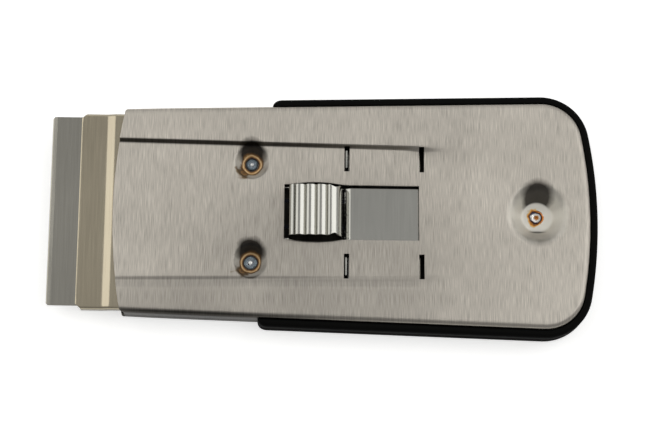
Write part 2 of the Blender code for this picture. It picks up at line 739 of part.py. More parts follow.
def build_razor_blade(parts, material, datum):
    """Blade with a ground edge and clipped front corners, up to the fold of its spine."""
    half = BLADE_LENGTH / 2
    cut = BLADE_CORNER_CUT
    back = BLADE_DEPTH - (SPINE_THICKNESS - BLADE_THICKNESS) / 2 - CRIMP_GAP
    outline = [
        (0, half - cut),
        (0, cut - half),
        (cut, -half),
        (BLADE_BEVEL_DEPTH, -half),
        (back, -half),
        (back, half),
        (BLADE_BEVEL_DEPTH, half),
        (cut, half),
    ]
    low = BLADE_MIDDLE - BLADE_THICKNESS / 2
    high = BLADE_MIDDLE + BLADE_THICKNESS / 2
    blade = prism("razor_blade", outline, low, high, parts)
    shape = bmesh.new()
    shape.from_mesh(blade.data)
    bmesh.ops.bisect_plane(
        shape,
        geom=shape.verts[:] + shape.edges[:] + shape.faces[:],
        plane_co=(BLADE_BEVEL_DEPTH, 0, 0),
        plane_no=(1, 0, 0),
    )
    bmesh.ops.triangulate(shape, faces=shape.faces[:])
    edge_share = BLADE_EDGE_THICKNESS / BLADE_THICKNESS
    for vert in shape.verts:
        share = min(edge_share + (1 - edge_share) * vert.co.x / BLADE_BEVEL_DEPTH, 1)
        vert.co.z = BLADE_MIDDLE + (vert.co.z - BLADE_MIDDLE) * share
    shape.to_mesh(blade.data)
    shape.free()
    dress(blade, material, datum)


def build_blade_spine(parts, cutters, material, datum):
    """Steel strip folded over the blade's back."""
    half = BLADE_LENGTH / 2
    low = BLADE_MIDDLE - SPINE_THICKNESS / 2
    high = BLADE_MIDDLE + SPINE_THICKNESS / 2
    front = BLADE_DEPTH - SPINE_DEPTH
    spine = box("blade_spine", (front, -half, low), (BLADE_DEPTH, half, high), parts)
    slot_half = BLADE_THICKNESS / 2 + CRIMP_GAP
    fold = (SPINE_THICKNESS - BLADE_THICKNESS) / 2 - CRIMP_GAP
    slot = box(
        "spine_slot",
        (front - OVERRUN, -half - OVERRUN, BLADE_MIDDLE - slot_half),
        (BLADE_DEPTH - fold, half + OVERRUN, BLADE_MIDDLE + slot_half),
        cutters,
    )
    combine(spine, "DIFFERENCE", slot)
    dress(spine, material, datum)


def button_path():
    """Side view of the button's middle surface, from its front foot to the tail's fillet."""
    half_sheet = STRIP_SHEET / 2
    up = math.pi / 2
    edge_radius = BUTTON_EDGE_RADIUS - half_sheet
    edge_x = BUTTON_FRONT + BUTTON_EDGE_RADIUS
    edge_z = BUTTON_TOP - BUTTON_EDGE_DROP - BUTTON_EDGE_RADIUS
    path = [(BUTTON_FRONT + half_sheet, STRIP_MIDDLE)]
    path += arc_points((edge_x, edge_z), edge_radius, math.pi, up, BEND_STEPS)
    rib_radius = RIB_RADIUS - half_sheet
    rib_z = BUTTON_TOP - RIB_RADIUS
    swing = math.asin(RIB_PITCH / 2 / rib_radius)
    for rib in range(RIB_COUNT):
        centre = (VALLEY_START + RIB_PITCH * (rib + 1 / 2), rib_z)
        arc = arc_points(centre, rib_radius, up + swing, up - swing, RIB_STEPS)
        path += arc[:-1]
    path.append((VALLEY_START + RIB_PITCH * RIB_COUNT, arc[-1][1]))
    lobe_radius = LOBE_RADIUS - half_sheet
    lobe = (LOBE_X, BUTTON_TOP - LOBE_RADIUS)
    path += arc_points(lobe, lobe_radius, up + LOBE_SLOPE / 2, up - LOBE_SLOPE, RIB_STEPS)
    fillet_radius = FILLET_RADIUS + half_sheet
    fillet = (BUTTON_REAR + FILLET_RADIUS * math.sin(LOBE_SLOPE), STRIP_TOP + FILLET_RADIUS)
    turn = math.pi + up
    path += arc_points(fillet, fillet_radius, turn - LOBE_SLOPE, turn, BEND_STEPS)
    return path


def build_thumb_slide(parts, cutters, material, hinge):
    """Spring strip with the ribbed thumb button pressed up out of it."""
    bridge = button_path()
    path = [(STRIP_START, STRIP_MIDDLE)] + bridge + [(STRIP_END, STRIP_MIDDLE)]
    widths = [
        BUTTON_HALF_WIDTH if z > STRIP_TOP + STRIP_SHEET else STRIP_HALF_WIDTH
        for x, z in path
    ]
    slide = bent_strip("thumb_slide", path, widths, STRIP_SHEET, parts)
    combine(slide, "DIFFERENCE", *slide_weld_holes("slide_hole", cutters))
    combine(slide, "DIFFERENCE", spring_weld_hole("slide_hole", cutters))
    dress(slide, material, hinge)


def build_lock_spring(parts, cutters, material, hinge):
    """Plate under the thumb slide, with lock tabs and a bowed tongue that lifts it."""
    middle = SPRING_TOP - SPRING_SHEET / 2
    foot = SHELL_SHEET + SPRING_FOOT_GAP + SPRING_SHEET / 2
    path = [
        (SPRING_FOOT_X - OVERRUN, foot + SPRING_FOOT_RISE),
        (SPRING_FOOT_X, foot),
        (SPRING_BEND_X, middle),
        (PLATE_START + SPRING_SHEET, middle),
    ]
    widths = [SPRING_HALF_WIDTH] * len(path)
    spring = bent_strip("lock_spring", path, widths, SPRING_SHEET, parts)
    plate = box(
        "spring_plate",
        (PLATE_START, -PLATE_HALF_WIDTH, SPRING_UNDERSIDE),
        (PLATE_END, PLATE_HALF_WIDTH, SPRING_TOP),
        cutters,
    )
    combine(spring, "UNION", plate)
    for name, y in (("right_tab", SLOT_Y), ("left_tab", -SLOT_Y)):
        low = (PLATE_START, y - TAB_WIDTH / 2, SPRING_UNDERSIDE)
        high = (PLATE_START + SPRING_SHEET, y + TAB_WIDTH / 2, PANEL_TOP - TAB_BELOW_PANEL)
        combine(spring, "UNION", box(name, low, high, cutters))
    combine(spring, "DIFFERENCE", spring_weld_hole("spring_hole", cutters))
    dress(spring, material, hinge)


def build_spring_weld(parts, material, hinge):
    """Spot weld between the lock spring and the thumb slide."""
    centre = (SPRING_WELD_X, 0)
    radius = SPRING_WELD_RADIUS
    dress(disc("spring_weld", centre, radius, SPRING_UNDERSIDE, STRIP_TOP, parts), material, hinge)


def main():
    """Build the whole scraper."""
    clear_scene()
    parts = make_collection("razor_blade_scraper")
    cutters = make_collection("cutters")
    datum = make_empty("scraper_datum", Vector((-OVERALL_LENGTH / 2, 0, 0)), None, parts)
    carrier = make_empty("carrier_datum", Vector((0, 0, STRIP_MIDDLE)), datum, parts)
    hinge = make_empty("button_hinge", Vector((HINGE_X, 0, 0)), carrier, parts)
    brushed = make_material("brushed_stainless", (0.50, 0.48, 0.45), 0.38, 1.0)
    rolled = make_material("oiled_rolled_steel", (0.36, 0.33, 0.27), 0.30, 1.0)
    polished = make_material("polished_spring_steel", (0.42, 0.42, 0.40), 0.18, 1.0)
    ground = make_material("ground_blade_steel", (0.33, 0.32, 0.30), 0.26, 1.0)
    weld = make_material("heat_tinted_weld", (0.42, 0.30, 0.18), 0.35, 1.0)
    vinyl = make_material("black_vinyl", (0.012, 0.012, 0.011), 0.42, 0.0)
    build_top_shell(parts, cutters, brushed, datum)
    build_bottom_shell(parts, cutters, brushed, datum)
    build_edge_grip(parts, cutters, vinyl, datum)
    build_shell_welds(parts, weld, datum)
    build_blade_carrier(parts, cutters, rolled, carrier)
    build_slide_welds(parts, weld, carrier)
    build_razor_blade(parts, ground, carrier)
    build_blade_spine(parts, cutters, ground, carrier)
    build_thumb_slide(parts, cutters, polished, hinge)
    build_lock_spring(parts, cutters, polished, hinge)
    build_spring_weld(parts, weld, hinge)
    for cutter in cutters.objects:
        cutter.parent = datum


main()
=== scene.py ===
"""Studio scene of a pocket razor blade scraper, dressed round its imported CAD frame.

Pieces are drawn in millimetres with X measured from the cutting edge, as the CAD source does,
and are moved into the frame's metres when their bmesh becomes an object.
"""

import logging
import math
from collections.abc import Callable, Iterable, Sequence
from dataclasses import dataclass, field
from enum import Enum
from typing import ClassVar

import bmesh
import bpy
from mathutils import Matrix, Vector, noise


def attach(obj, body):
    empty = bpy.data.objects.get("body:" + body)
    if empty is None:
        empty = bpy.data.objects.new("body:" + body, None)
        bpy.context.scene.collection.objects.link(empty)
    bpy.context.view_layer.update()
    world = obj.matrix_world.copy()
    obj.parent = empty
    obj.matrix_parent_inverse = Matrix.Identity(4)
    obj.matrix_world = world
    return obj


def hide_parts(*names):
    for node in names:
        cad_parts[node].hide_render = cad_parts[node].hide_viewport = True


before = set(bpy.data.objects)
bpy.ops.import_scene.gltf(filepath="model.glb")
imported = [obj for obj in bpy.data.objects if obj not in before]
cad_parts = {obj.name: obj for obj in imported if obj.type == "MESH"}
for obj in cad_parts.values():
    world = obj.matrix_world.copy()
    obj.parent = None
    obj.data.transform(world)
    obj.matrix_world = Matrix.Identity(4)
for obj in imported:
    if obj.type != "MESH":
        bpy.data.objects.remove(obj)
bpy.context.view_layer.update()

LOG = logging.getLogger("scraper")
MM = 0.001
DATUM = 54.05  # from the cutting edge to the middle of the footprint
TINY = 1e-4  # closer than this counts as the same place

# The dimples and their welds: X of the front pair, Y of its two and X of the rear one.
FRONT_X = 39.65
FRONT_YS = (9.95, -9.95)
REAR_X = 96.2

# Span that nearly all values of a noise texture fall in, and a narrower one that clips it.
NOISE_LOW, NOISE_HIGH = 0.3, 0.7
BLOT_LOW, BLOT_HIGH = 0.35, 0.65

# Edges that turn by more degrees than this are broken, in this many steps.
EDGE_ANGLE = 38.0
EDGE_SEGMENTS = 2

Point = tuple[float, float]
Place = tuple[float, float, float]
Colour = tuple[float, float, float, float]
Rings = tuple[tuple[float, str], ...]
Rows = tuple[float, float, int]  # first place, last place and number of steps between them
Wires = dict[int | str, object]


class Body(Enum):
    """Bodies of the frame that the pieces ride on."""

    HANDLE = "handle"
    CARRIER = "carrier"
    THUMB = "thumb"
    BLADE = "blade"


def linear(colour: str) -> Colour:
    """Turn an sRGB hex colour into linear RGBA.

    Args:
        colour: Six hex digits, such as "c8c2b6".

    Returns:
        Linear red, green, blue and a full alpha.
    """
    shares = [int(colour[at : at + 2], 16) / 255 for at in (0, 2, 4)]
    bent = [s / 12.92 if s <= 0.04045 else ((s + 0.055) / 1.055) ** 2.4 for s in shares]
    return (*bent, 1.0)


def soft_min(a: float, b: float, blend: float) -> float:
    """The lower of two values, rounded where they come within `blend` of each other."""
    near = max(blend - abs(a - b), 0.0)
    return min(a, b) - near * near / (4 * blend)


def soft_max(a: float, b: float, blend: float) -> float:
    """The higher of two values, rounded where they come within `blend` of each other."""
    return -soft_min(-a, -b, blend)


def spread(start: float, end: float, steps: int) -> list[float]:
    """Evenly spaced values from start to end, both included."""
    return [start + (end - start) * step / steps for step in range(steps + 1)]


def mirrored(values: Sequence[float]) -> list[float]:
    """Values that start at zero, with their negatives ahead of them."""
    return [-value for value in values[:0:-1]] + list(values)


def arc(centre: Point, radius: float, start: float, end: float, steps: int) -> list[Point]:
    """Place points along an arc.

    Args:
        centre: Centre of the arc.
        radius: Radius of the arc.
        start: First angle in radians.
        end: Last angle in radians.
        steps: Number of equal steps between them.

    Returns:
        The points from the first angle to the last.
    """
    return [
        (centre[0] + radius * math.cos(a), centre[1] + radius * math.sin(a))
        for a in spread(start, end, steps)
    ]


def of_kind(items: Iterable, kind: type) -> list:
    """Those items of an operator's result that are vertices, edges or faces, as asked."""
    return [item for item in items if isinstance(item, kind)]


def sheet(
    shape: bmesh.types.BMesh, rows: int, columns: int, place: Callable[[int, int], Sequence[float]]
) -> None:
    """Add a grid and lay it out in space.

    Args:
        shape: The bmesh that receives the grid.
        rows: Number of lines one way.
        columns: Number of lines the other way.
        place: Gives the point for a row and a column.
    """
    made = bmesh.ops.create_grid(shape, x_segments=rows - 1, y_segments=columns - 1, size=1)
    for vert in made["verts"]:
        row = round((vert.co.x + 1) / 2 * (rows - 1))
        column = round((vert.co.y + 1) / 2 * (columns - 1))
        vert.co = place(row, column)


def face_out(shape: bmesh.types.BMesh, side: float = 1.0) -> None:
    """Make the faces of an open sheet agree.

    Args:
        shape: The sheet.
        side: 1 to make the faces that lie flat point up, -1 to make them point down.
    """
    bmesh.ops.recalc_face_normals(shape, faces=shape.faces)
    if sum(f.normal.z * f.calc_area() for f in shape.faces) * side < 0:
        bmesh.ops.reverse_faces(shape, faces=shape.faces)


def to_object(name: str, shape: bmesh.types.BMesh) -> bpy.types.Object:
    """Move a finished bmesh into the frame's metres and make it an object.

    Args:
        name: Name of the piece.
        shape: The bmesh in millimetres from the cutting edge, which is freed.

    Returns:
        The new object, at the origin.
    """
    bmesh.ops.translate(shape, verts=shape.verts, vec=(-DATUM, 0, 0))
    bmesh.ops.scale(shape, verts=shape.verts, vec=(MM, MM, MM))
    mesh = bpy.data.meshes.new(name)
    shape.to_mesh(mesh)
    shape.free()
    piece = bpy.data.objects.new(name, mesh)
    bpy.context.scene.collection.objects.link(piece)
    return piece


def thicken(piece: bpy.types.Object, gauge: float, inside_slot: int) -> None:
    """Give an open sheet its gauge, behind its faces.

    Args:
        piece: The sheet.
        gauge: Thickness of the metal.
        inside_slot: How many material slots further on the back's finish is.
    """
    step = piece.modifiers.new("gauge", "SOLIDIFY")
    step.thickness = gauge * MM
    step.offset = -1.0
    step.material_offset = inside_slot


def break_edges(piece: bpy.types.Object, width: float) -> None:
    """Round every sharp edge a little.

    Args:
        piece: The piece.
        width: Width of the rounding.
    """
    step = piece.modifiers.new("broken_edges", "BEVEL")
    step.width = width * MM
    step.segments = EDGE_SEGMENTS
    step.limit_method = "ANGLE"
    step.angle_limit = math.radians(EDGE_ANGLE)


def settle(piece: bpy.types.Object, crease: float) -> None:
    """Apply the modifiers and shade the mesh smooth between its sharp edges.

    Args:
        piece: The piece.
        crease: Angle in degrees from which an edge stays sharp.
    """
    bpy.context.view_layer.update()
    seen = piece.evaluated_get(bpy.context.evaluated_depsgraph_get())
    mesh = bpy.data.meshes.new_from_object(seen)
    piece.modifiers.clear()
    piece.data = mesh
    mesh.name = piece.name
    mesh.shade_smooth()
    mesh.set_sharp_from_angle(angle=math.radians(crease))


def wire(tree: bpy.types.NodeTree, node: bpy.types.Node, wires: Wires) -> None:
    """Link sockets to a node's inputs, or set the inputs.

    Args:
        tree: The node tree that holds the node.
        node: The node.
        wires: For an input's name or number, a value or the output socket to link.
    """
    for name, value in wires.items():
        if isinstance(value, bpy.types.NodeSocket):
            tree.links.new(value, node.inputs[name])
        else:
            node.inputs[name].default_value = value


def put(
    tree: bpy.types.NodeTree, kind: str, wires: Wires | None = None, **settings: object
) -> bpy.types.Node:
    """Add a node, set it and wire it.

    Args:
        tree: The node tree to add to.
        kind: The node's type without its "ShaderNode".
        wires: For an input's name or number, a value or the output socket to link.
        **settings: The node's own settings.

    Returns:
        The new node.
    """
    made = tree.nodes.new("ShaderNode" + kind)
    for name, value in settings.items():
        setattr(made, name, value)
    wire(tree, made, wires or {})
    return made


def new_material(name: str) -> tuple[bpy.types.Material, bpy.types.NodeTree, bpy.types.Node]:
    """Start a material.

    Args:
        name: Name of the material.

    Returns:
        The material, its node tree and its Principled shader.
    """
    material = bpy.data.materials.new(name)
    material.use_nodes = True
    return material, material.node_tree, material.node_tree.nodes["Principled BSDF"]


@dataclass(frozen=True)
class Tint:
    """Rings of colour round a place, each at a distance in millimetres from it.

    The strength is the share that they cover of what lies under them, the waver how uneven they
    are, and dull the share of the metal's mirror that they take away.
    """

    x: float
    y: float
    rings: Rings
    strength: float = 1.0
    waver: float = 0.15
    dull: float = 0.0

    @property
    def reach(self) -> float:
        """Distance at which the tint has faded out."""
        return self.rings[-1][0]


@dataclass(frozen=True)
class PaintedShade:
    """Thin oval of painted shade, which takes a share of the light.

    It leans from the handle's length by an angle in degrees.
    """

    x: float
    y: float
    half_length: float
    half_width: float
    share: float
    lean: float = 0.0
    core: ClassVar[float] = 0.25  # share of the oval that is at full strength


@dataclass(frozen=True)
class SteelFinish:
    """Bare steel with fine lines across the handle, faint patches, tints and ovals of painted
    shade.

    The lines are sized in millimetres and the relief is their height. Real lines are finer than
    the render can show, so each finish draws them as coarse as they need to be to show. The
    patches and the blots are counted per metre, which makes them 18 mm and 2.4 mm wide.
    """

    name: str
    slot: str
    colour: str
    roughness: float
    line_width: float = 0.3
    line_length: float = 9.0
    contrast: float = 0.10
    patch_contrast: float = 0.05
    relief: float = 0.010
    stretch: float = 0.9
    tints: tuple[Tint, ...] = ()
    painted_shades: tuple[PaintedShade, ...] = ()
    swing: ClassVar[float] = 0.15  # share by which the roughness rises and falls
    patches: ClassVar[float] = 55.0
    blots: ClassVar[float] = 420.0
    across: ClassVar[Place] = (1.0, 0.02, 0.01)  # way in which the lines scatter light furthest

    def line_scale(self) -> Place:
        """Cycles of the line pattern per metre along each axis."""
        long = 1 / (self.line_length * MM)
        return 1 / (self.line_width * MM), long, long

    def build(self) -> bpy.types.Material:
        """Make the material.

        Returns:
            The finished material.
        """
        material, tree, shader = new_material(self.name)
        place = put(tree, "TexCoord").outputs["Object"]
        laid = put(tree, "Mapping", {"Vector": place, "Scale": self.line_scale()})
        drawn = {"Vector": laid.outputs[0], "Scale": 1, "Detail": 3, "Roughness": 0.5}
        lines = put(tree, "TexNoise", drawn).outputs[0]
        colour = self.add_lines(tree, place, lines)
        metal: float | bpy.types.NodeSocket = 1.0
        if self.tints:
            colour, metal = self.add_tints(tree, place, colour)
        # Ovals of painted shade darken the colour where they lie.
        for shade_oval in self.painted_shades:
            colour = self.add_painted_shade(tree, place, colour, shade_oval)
        low, high = self.roughness * (1 - self.swing), self.roughness * (1 + self.swing)
        span = {0: lines, 1: NOISE_LOW, 2: NOISE_HIGH, 3: low, 4: high}
        relief = {"Height": lines, "Distance": self.relief * MM, "Strength": 1.0}
        sockets = {
            "Base Color": colour,
            "Metallic": metal,
            "Roughness": put(tree, "MapRange", span).outputs[0],
            "Normal": put(tree, "Bump", relief).outputs[0],
            "Anisotropic": self.stretch,
            "Tangent": put(tree, "CombineXYZ", dict(enumerate(self.across))).outputs[0],
        }
        wire(tree, shader, sockets)
        return material

    def add_lines(
        self, tree: bpy.types.NodeTree, place: bpy.types.NodeSocket, lines: bpy.types.NodeSocket
    ) -> bpy.types.NodeSocket:
        """Colour the steel by its lines, and shade it by its patches.

        Args:
            tree: The material's node tree.
            place: Socket with the Object coordinates.
            lines: Socket with the noise that draws the lines.

        Returns:
            The socket with the colour.
        """
        base = linear(self.colour)[:3]
        low = (*(c * (1 - self.contrast) for c in base), 1)
        high = (*(min(c * (1 + self.contrast), 1) for c in base), 1)
        share = put(tree, "MapRange", {0: lines, 1: NOISE_LOW, 2: NOISE_HIGH}).outputs[0]
        mixed = put(tree, "Mix", {0: share, "A": low, "B": high}, data_type="RGBA")
        drawn = {"Vector": place, "Scale": self.patches, "Detail": 3, "Roughness": 0.5}
        patches = put(tree, "TexNoise", drawn).outputs[0]
        low, high = 1 - self.patch_contrast, 1 + self.patch_contrast
        span = {0: patches, 1: NOISE_LOW, 2: NOISE_HIGH, 3: low, 4: high}
        shade = {0: mixed.outputs["Result"], "Scale": put(tree, "MapRange", span).outputs[0]}
        return put(tree, "VectorMath", shade, operation="SCALE").outputs[0]

    def add_tints(
        self, tree: bpy.types.NodeTree, place: bpy.types.NodeSocket, colour: bpy.types.NodeSocket
    ) -> tuple[bpy.types.NodeSocket, float | bpy.types.NodeSocket]:
        """Lay every tint over a colour, the later ones over the earlier.

        Args:
            tree: The material's node tree.
            place: Socket with the Object coordinates.
            colour: Socket with the bare steel's colour.

        Returns:
            The socket with the tinted colour, and how metallic the surface is.
        """
        metal: float | bpy.types.NodeSocket = 1.0
        drawn = {"Vector": place, "Scale": self.blots, "Detail": 2}
        blots = put(tree, "TexNoise", drawn).outputs[0]
        for tint in self.tints:
            colour, cover = self.add_tint(tree, place, colour, tint, blots)
            if tint.dull:
                bare = {0: cover, 1: -tint.dull, 2: 1.0}
                kept = put(tree, "Math", bare, operation="MULTIPLY_ADD").outputs[0]
                metal = put(tree, "Math", {0: kept, 1: metal}, operation="MULTIPLY").outputs[0]
        return colour, metal

    @staticmethod
    def add_tint(
        tree: bpy.types.NodeTree,
        place: bpy.types.NodeSocket,
        colour: bpy.types.NodeSocket,
        tint: Tint,
        blots: bpy.types.NodeSocket,
    ) -> tuple[bpy.types.NodeSocket, bpy.types.NodeSocket]:
        """Lay the rings of one tint over a colour.

        Args:
            tree: The material's node tree.
            place: Socket with the Object coordinates.
            colour: Socket with the colour so far.
            tint: The tint's place and rings.
            blots: Socket with the noise that makes the rings uneven.

        Returns:
            The sockets with the tinted colour and with the share that the rings cover.
        """
        centre = ((tint.x - DATUM) * MM, tint.y * MM, 0)
        flat = put(tree, "VectorMath", {0: place, 1: (1, 1, 0)}, operation="MULTIPLY")
        between = {0: flat.outputs[0], 1: centre}
        away = put(tree, "VectorMath", between, operation="DISTANCE").outputs["Value"]
        waver = {0: blots, 1: BLOT_LOW, 2: BLOT_HIGH, 3: 1 - tint.waver, 4: 1 + tint.waver}
        bent = put(tree, "MapRange", waver).outputs[0]
        span = put(tree, "Math", {0: away, 1: bent}, operation="MULTIPLY").outputs[0]
        share = put(tree, "Math", {0: span, 1: tint.reach * MM}, operation="DIVIDE").outputs[0]
        ramp = put(tree, "ValToRGB", {0: share})
        stops = ramp.color_ramp.elements
        while len(stops) < len(tint.rings):
            stops.new(0.5)  # moved to its ring's place below
        for stop, (at, tone) in zip(stops, tint.rings):
            stop.position = at / tint.reach
            stop.color = linear(tone)
        last = tint.rings[-2][0] / tint.reach
        faded = {0: share, 1: last, 2: 1.0, 3: tint.strength, 4: 0.0}
        fade = put(tree, "MapRange", faded).outputs[0]
        mixed = put(tree, "Mix", {0: fade, "A": colour, "B": ramp.outputs[0]}, data_type="RGBA")
        return mixed.outputs["Result"], fade

    @staticmethod
    def add_painted_shade(
        tree: bpy.types.NodeTree,
        place: bpy.types.NodeSocket,
        colour: bpy.types.NodeSocket,
        shade_oval: PaintedShade,
    ) -> bpy.types.NodeSocket:
        """Darken a colour under an oval of painted shade.

        Args:
            tree: The material's node tree.
            place: Socket with the Object coordinates.
            colour: Socket with the colour so far.
            shade_oval: The painted shade's place, reach and share.

        Returns:
            The socket with the darkened colour.
        """
        oval = {
            "Vector": place,
            "Location": ((shade_oval.x - DATUM) * MM, shade_oval.y * MM, 0),
            "Rotation": (0, 0, math.radians(shade_oval.lean)),
            "Scale": (shade_oval.half_length * MM, shade_oval.half_width * MM, 1),
        }
        laid = put(tree, "Mapping", oval, vector_type="TEXTURE")
        away = put(tree, "VectorMath", {0: laid.outputs[0]}, operation="LENGTH").outputs["Value"]
        span = {0: away, 1: shade_oval.core, 2: 1.0, 3: 1 - shade_oval.share, 4: 1.0}
        kept = put(tree, "MapRange", span, interpolation_type="SMOOTHSTEP").outputs[0]
        return put(tree, "VectorMath", {0: colour, "Scale": kept}, operation="SCALE").outputs[0]


@dataclass(frozen=True)
class VinylFinish:
    """Soft black plastic with a faint pebble, and slow patches of more and less shine.

    The pebble and the patches are counted per metre, which makes them 0.4 mm and 8 mm wide.
    """

    name: str
    slot: str
    shades: tuple[str, str] = ("050504", "0b0b0a")
    roughness: Point = (0.56, 0.72)
    gloss: float = 0.05
    pebble: float = 2600.0
    pebble_height: float = 0.01
    pebble_strength: float = 0.6
    patches: float = 120.0

    def build(self) -> bpy.types.Material:
        """Make the material.

        Returns:
            The finished material.
        """
        material, tree, shader = new_material(self.name)
        place = put(tree, "TexCoord").outputs["Object"]
        pebble, slow = (
            put(tree, "TexNoise", {"Vector": place, "Scale": scale, "Detail": 2}).outputs[0]
            for scale in (self.pebble, self.patches)
        )
        dark, light = (linear(shade) for shade in self.shades)
        mixed = put(tree, "Mix", {0: slow, "A": dark, "B": light}, data_type="RGBA")
        rough = put(tree, "MapRange", {0: slow, 3: self.roughness[0], 4: self.roughness[1]})
        height, strength = self.pebble_height * MM, self.pebble_strength
        relief = put(tree, "Bump", {"Height": pebble, "Distance": height, "Strength": strength})
        sockets = {
            "Base Color": mixed.outputs["Result"],
            "Roughness": rough.outputs[0],
            "Normal": relief.outputs[0],
            "Specular IOR Level": self.gloss,
        }
        wire(tree, shader, sockets)
        return material


Finish = SteelFinish | VinylFinish


@dataclass
class Finishes:
    """The finishes of the scraper, each made once."""

    made: dict[str, bpy.types.Material] = field(default_factory=dict)

    def dress(self, piece: bpy.types.Object, *looks: Finish) -> None:
        """Give a piece its finish, and some of its faces a second one where there is one.

        Args:
            piece: The piece or CAD node.
            *looks: The finishes in the order of the faces' material numbers.
        """
        marks = [face.material_index for face in piece.data.polygons]
        piece.data.materials.clear()
        for look in looks:
            if look.name not in self.made:
                self.made[look.name] = look.build()
            piece.data.materials.append(self.made[look.name])
        for face, mark in zip(piece.data.polygons, marks):
            face.material_index = min(mark, len(looks) - 1)


@dataclass
class SubAssembly:
    """What the sub-assemblies share: the finishes, a body, and how a piece is completed."""

    finishes: Finishes
    body: ClassVar[Body] = Body.HANDLE

    def complete(
        self,
        shape: bmesh.types.BMesh,
        name: str,
        node: str,
        *looks: Finish,
        gauge: float = 0.0,
        inside_slot: int = 0,
        edge: float = 0.0,
        crease: float = 40.0,
    ) -> None:
        """Make a drawn shape a dressed piece that rides on the body in place of a CAD node.

        Args:
            shape: The bmesh in millimetres from the cutting edge.
            name: Name of the piece.
            node: The CAD node that it stands for.
            *looks: Its finishes.
            gauge: Thickness to give an open sheet.
            inside_slot: How many finishes further on that of the sheet's back is.
            edge: Width of the rounding of its sharp edges.
            crease: Angle in degrees from which an edge is shaded as sharp.
        """
        piece = to_object(name, shape)
        for _ in looks:
            piece.data.materials.append(None)
        if gauge:
            thicken(piece, gauge, inside_slot)
        if edge:
            break_edges(piece, edge)
        settle(piece, crease)
        self.finishes.dress(piece, *looks)
        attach(piece, self.body.value)
        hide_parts(node)
        LOG.info("%s: %d faces, for %s", name, len(piece.data.polygons), node)


@dataclass(frozen=True)
class HandlePlan:
    """Outline that both shells of the handle share, seen from above."""

    front: float = 12.55
    length: float = 94.0
    front_half: float = 20.5
    rear_half: float = 23.2
    front_arc: float = 106.0
    front_fade: float = 14.0
    rear_arc: float = 91.0
    corner: float = 8.0
    front_corner: float = 0.7
    corner_steps: int = 24
    arc_steps: int = 36

    @property
    def taper(self) -> float:
        """Growth of the half width for each millimetre towards the rear."""
        return (self.rear_half - self.front_half) / self.length

    @property
    def rear(self) -> float:
        """Rearmost X of the shells."""
        return self.front + self.length

    @property
    def arc_middle(self) -> float:
        """X of the rear arc's centre."""
        return self.rear - self.rear_arc

    def half_width(self, x: float) -> float:
        """Half width at X, ahead of the rear corners."""
        return self.front_half + (x - self.front) * self.taper

    def corner_centre(self) -> Point:
        """Find the centre of the right rear corner.

        Returns:
            The point from which the corner touches both the side line and the rear arc.
        """
        offset = self.half_width(0) - self.corner * math.hypot(1, self.taper)
        reach = self.rear_arc - self.corner
        lead = 1 + self.taper**2
        half_turn = self.arc_middle - self.taper * offset
        rest = self.arc_middle**2 + offset**2 - reach**2
        x = (half_turn + math.sqrt(half_turn**2 - lead * rest)) / lead
        return x, offset + self.taper * x

    def angles(self) -> Point:
        """Angles of the outward normal at the side line and where the rear arc starts."""
        x, y = self.corner_centre()
        return math.pi / 2 + math.atan(self.taper), math.atan2(y, x - self.arc_middle)

    def turn_at(self, x: float, y: float) -> float:
        """Angle at which a point of the right half lies from the corner's centre."""
        corner_x, corner_y = self.corner_centre()
        return math.atan2(abs(y) - corner_y, x - corner_x)

    def rear_path(self) -> list[Point]:
        """Draw the rear of the outline.

        Returns:
            Points from the left side round to the right.
        """
        x, y = self.corner_centre()
        side, rear = self.angles()
        left = arc((x, -y), self.corner, -side, -rear, self.corner_steps)
        end = arc((self.arc_middle, 0), self.rear_arc, -rear, rear, self.arc_steps)
        right = arc((x, y), self.corner, rear, side, self.corner_steps)
        return left + end[1:-1] + right

    def inside(self, x: float, y: float) -> float:
        """Measure how far a point lies inwards from the side and rear outline.

        Args:
            x: X of the point.
            y: Y of the point.

        Returns:
            The distance, below zero for a point outside.
        """
        corner_x, corner_y = self.corner_centre()
        side, rear = self.angles()
        if rear < self.turn_at(x, y) < side:
            return self.corner - math.hypot(x - corner_x, abs(y) - corner_y)
        to_side = (self.half_width(x) - abs(y)) / math.hypot(1, self.taper)
        return min(to_side, self.rear_arc - math.hypot(x - self.arc_middle, y))

    def normal(self, x: float, y: float) -> Vector:
        """Find the outward direction at a point of the outline.

        Args:
            x: X of the point.
            y: Y of the point.

        Returns:
            A flat vector of length one.
        """
        side, rear = self.angles()
        turn = self.turn_at(x, y)
        if turn >= side - TINY or x < self.corner_centre()[0] - self.corner:
            turn = side
        elif turn <= rear:
            turn = math.atan2(abs(y), x - self.arc_middle)
        return Vector((math.cos(turn), math.copysign(1, y) * math.sin(turn), 0))

    def front_shift(self, x: float, y: float) -> float:
        """Measure how far the shallow front arc and its rounded corners set a point back.

        Args:
            x: X of the point on the straight blank.
            y: Y of the point.

        Returns:
            The shift along X, which fades out behind the front.
        """
        arc_back = self.front_arc - math.sqrt(self.front_arc**2 - y * y)
        near = min(max(self.inside(x, y), 0.0), self.front_corner)
        span = self.front_corner - near
        corner_back = self.front_corner - math.sqrt(self.front_corner**2 - span**2)
        fade = max(0.0, 1 - (x - self.front) / self.front_fade)
        return (arc_back + corner_back) * fade * fade


@dataclass(frozen=True)
class Dimple:
    """Round dimple with a flat floor, pressed inwards."""

    x: float
    y: float
    floor_radius: float
    mouth_radius: float
    depth: float
    mouth_blend: float
    floor_blend: float = 0.35

    def depth_at(self, x: float, y: float) -> float:
        """Measure the dimple's cone and floor at a point.

        Args:
            x: X of the point.
            y: Y of the point.

        Returns:
            The depth, below zero outside the mouth.
        """
        past_floor = math.hypot(x - self.x, y - self.y) - self.floor_radius
        steep = self.depth / (self.mouth_radius - self.floor_radius)
        return soft_min(self.depth, self.depth - steep * past_floor, self.floor_blend)

    def is_near(self, x: float, y: float, margin: float) -> bool:
        """Whether a point lies within the mouth or a margin of it."""
        return math.hypot(x - self.x, y - self.y) < self.mouth_radius + margin


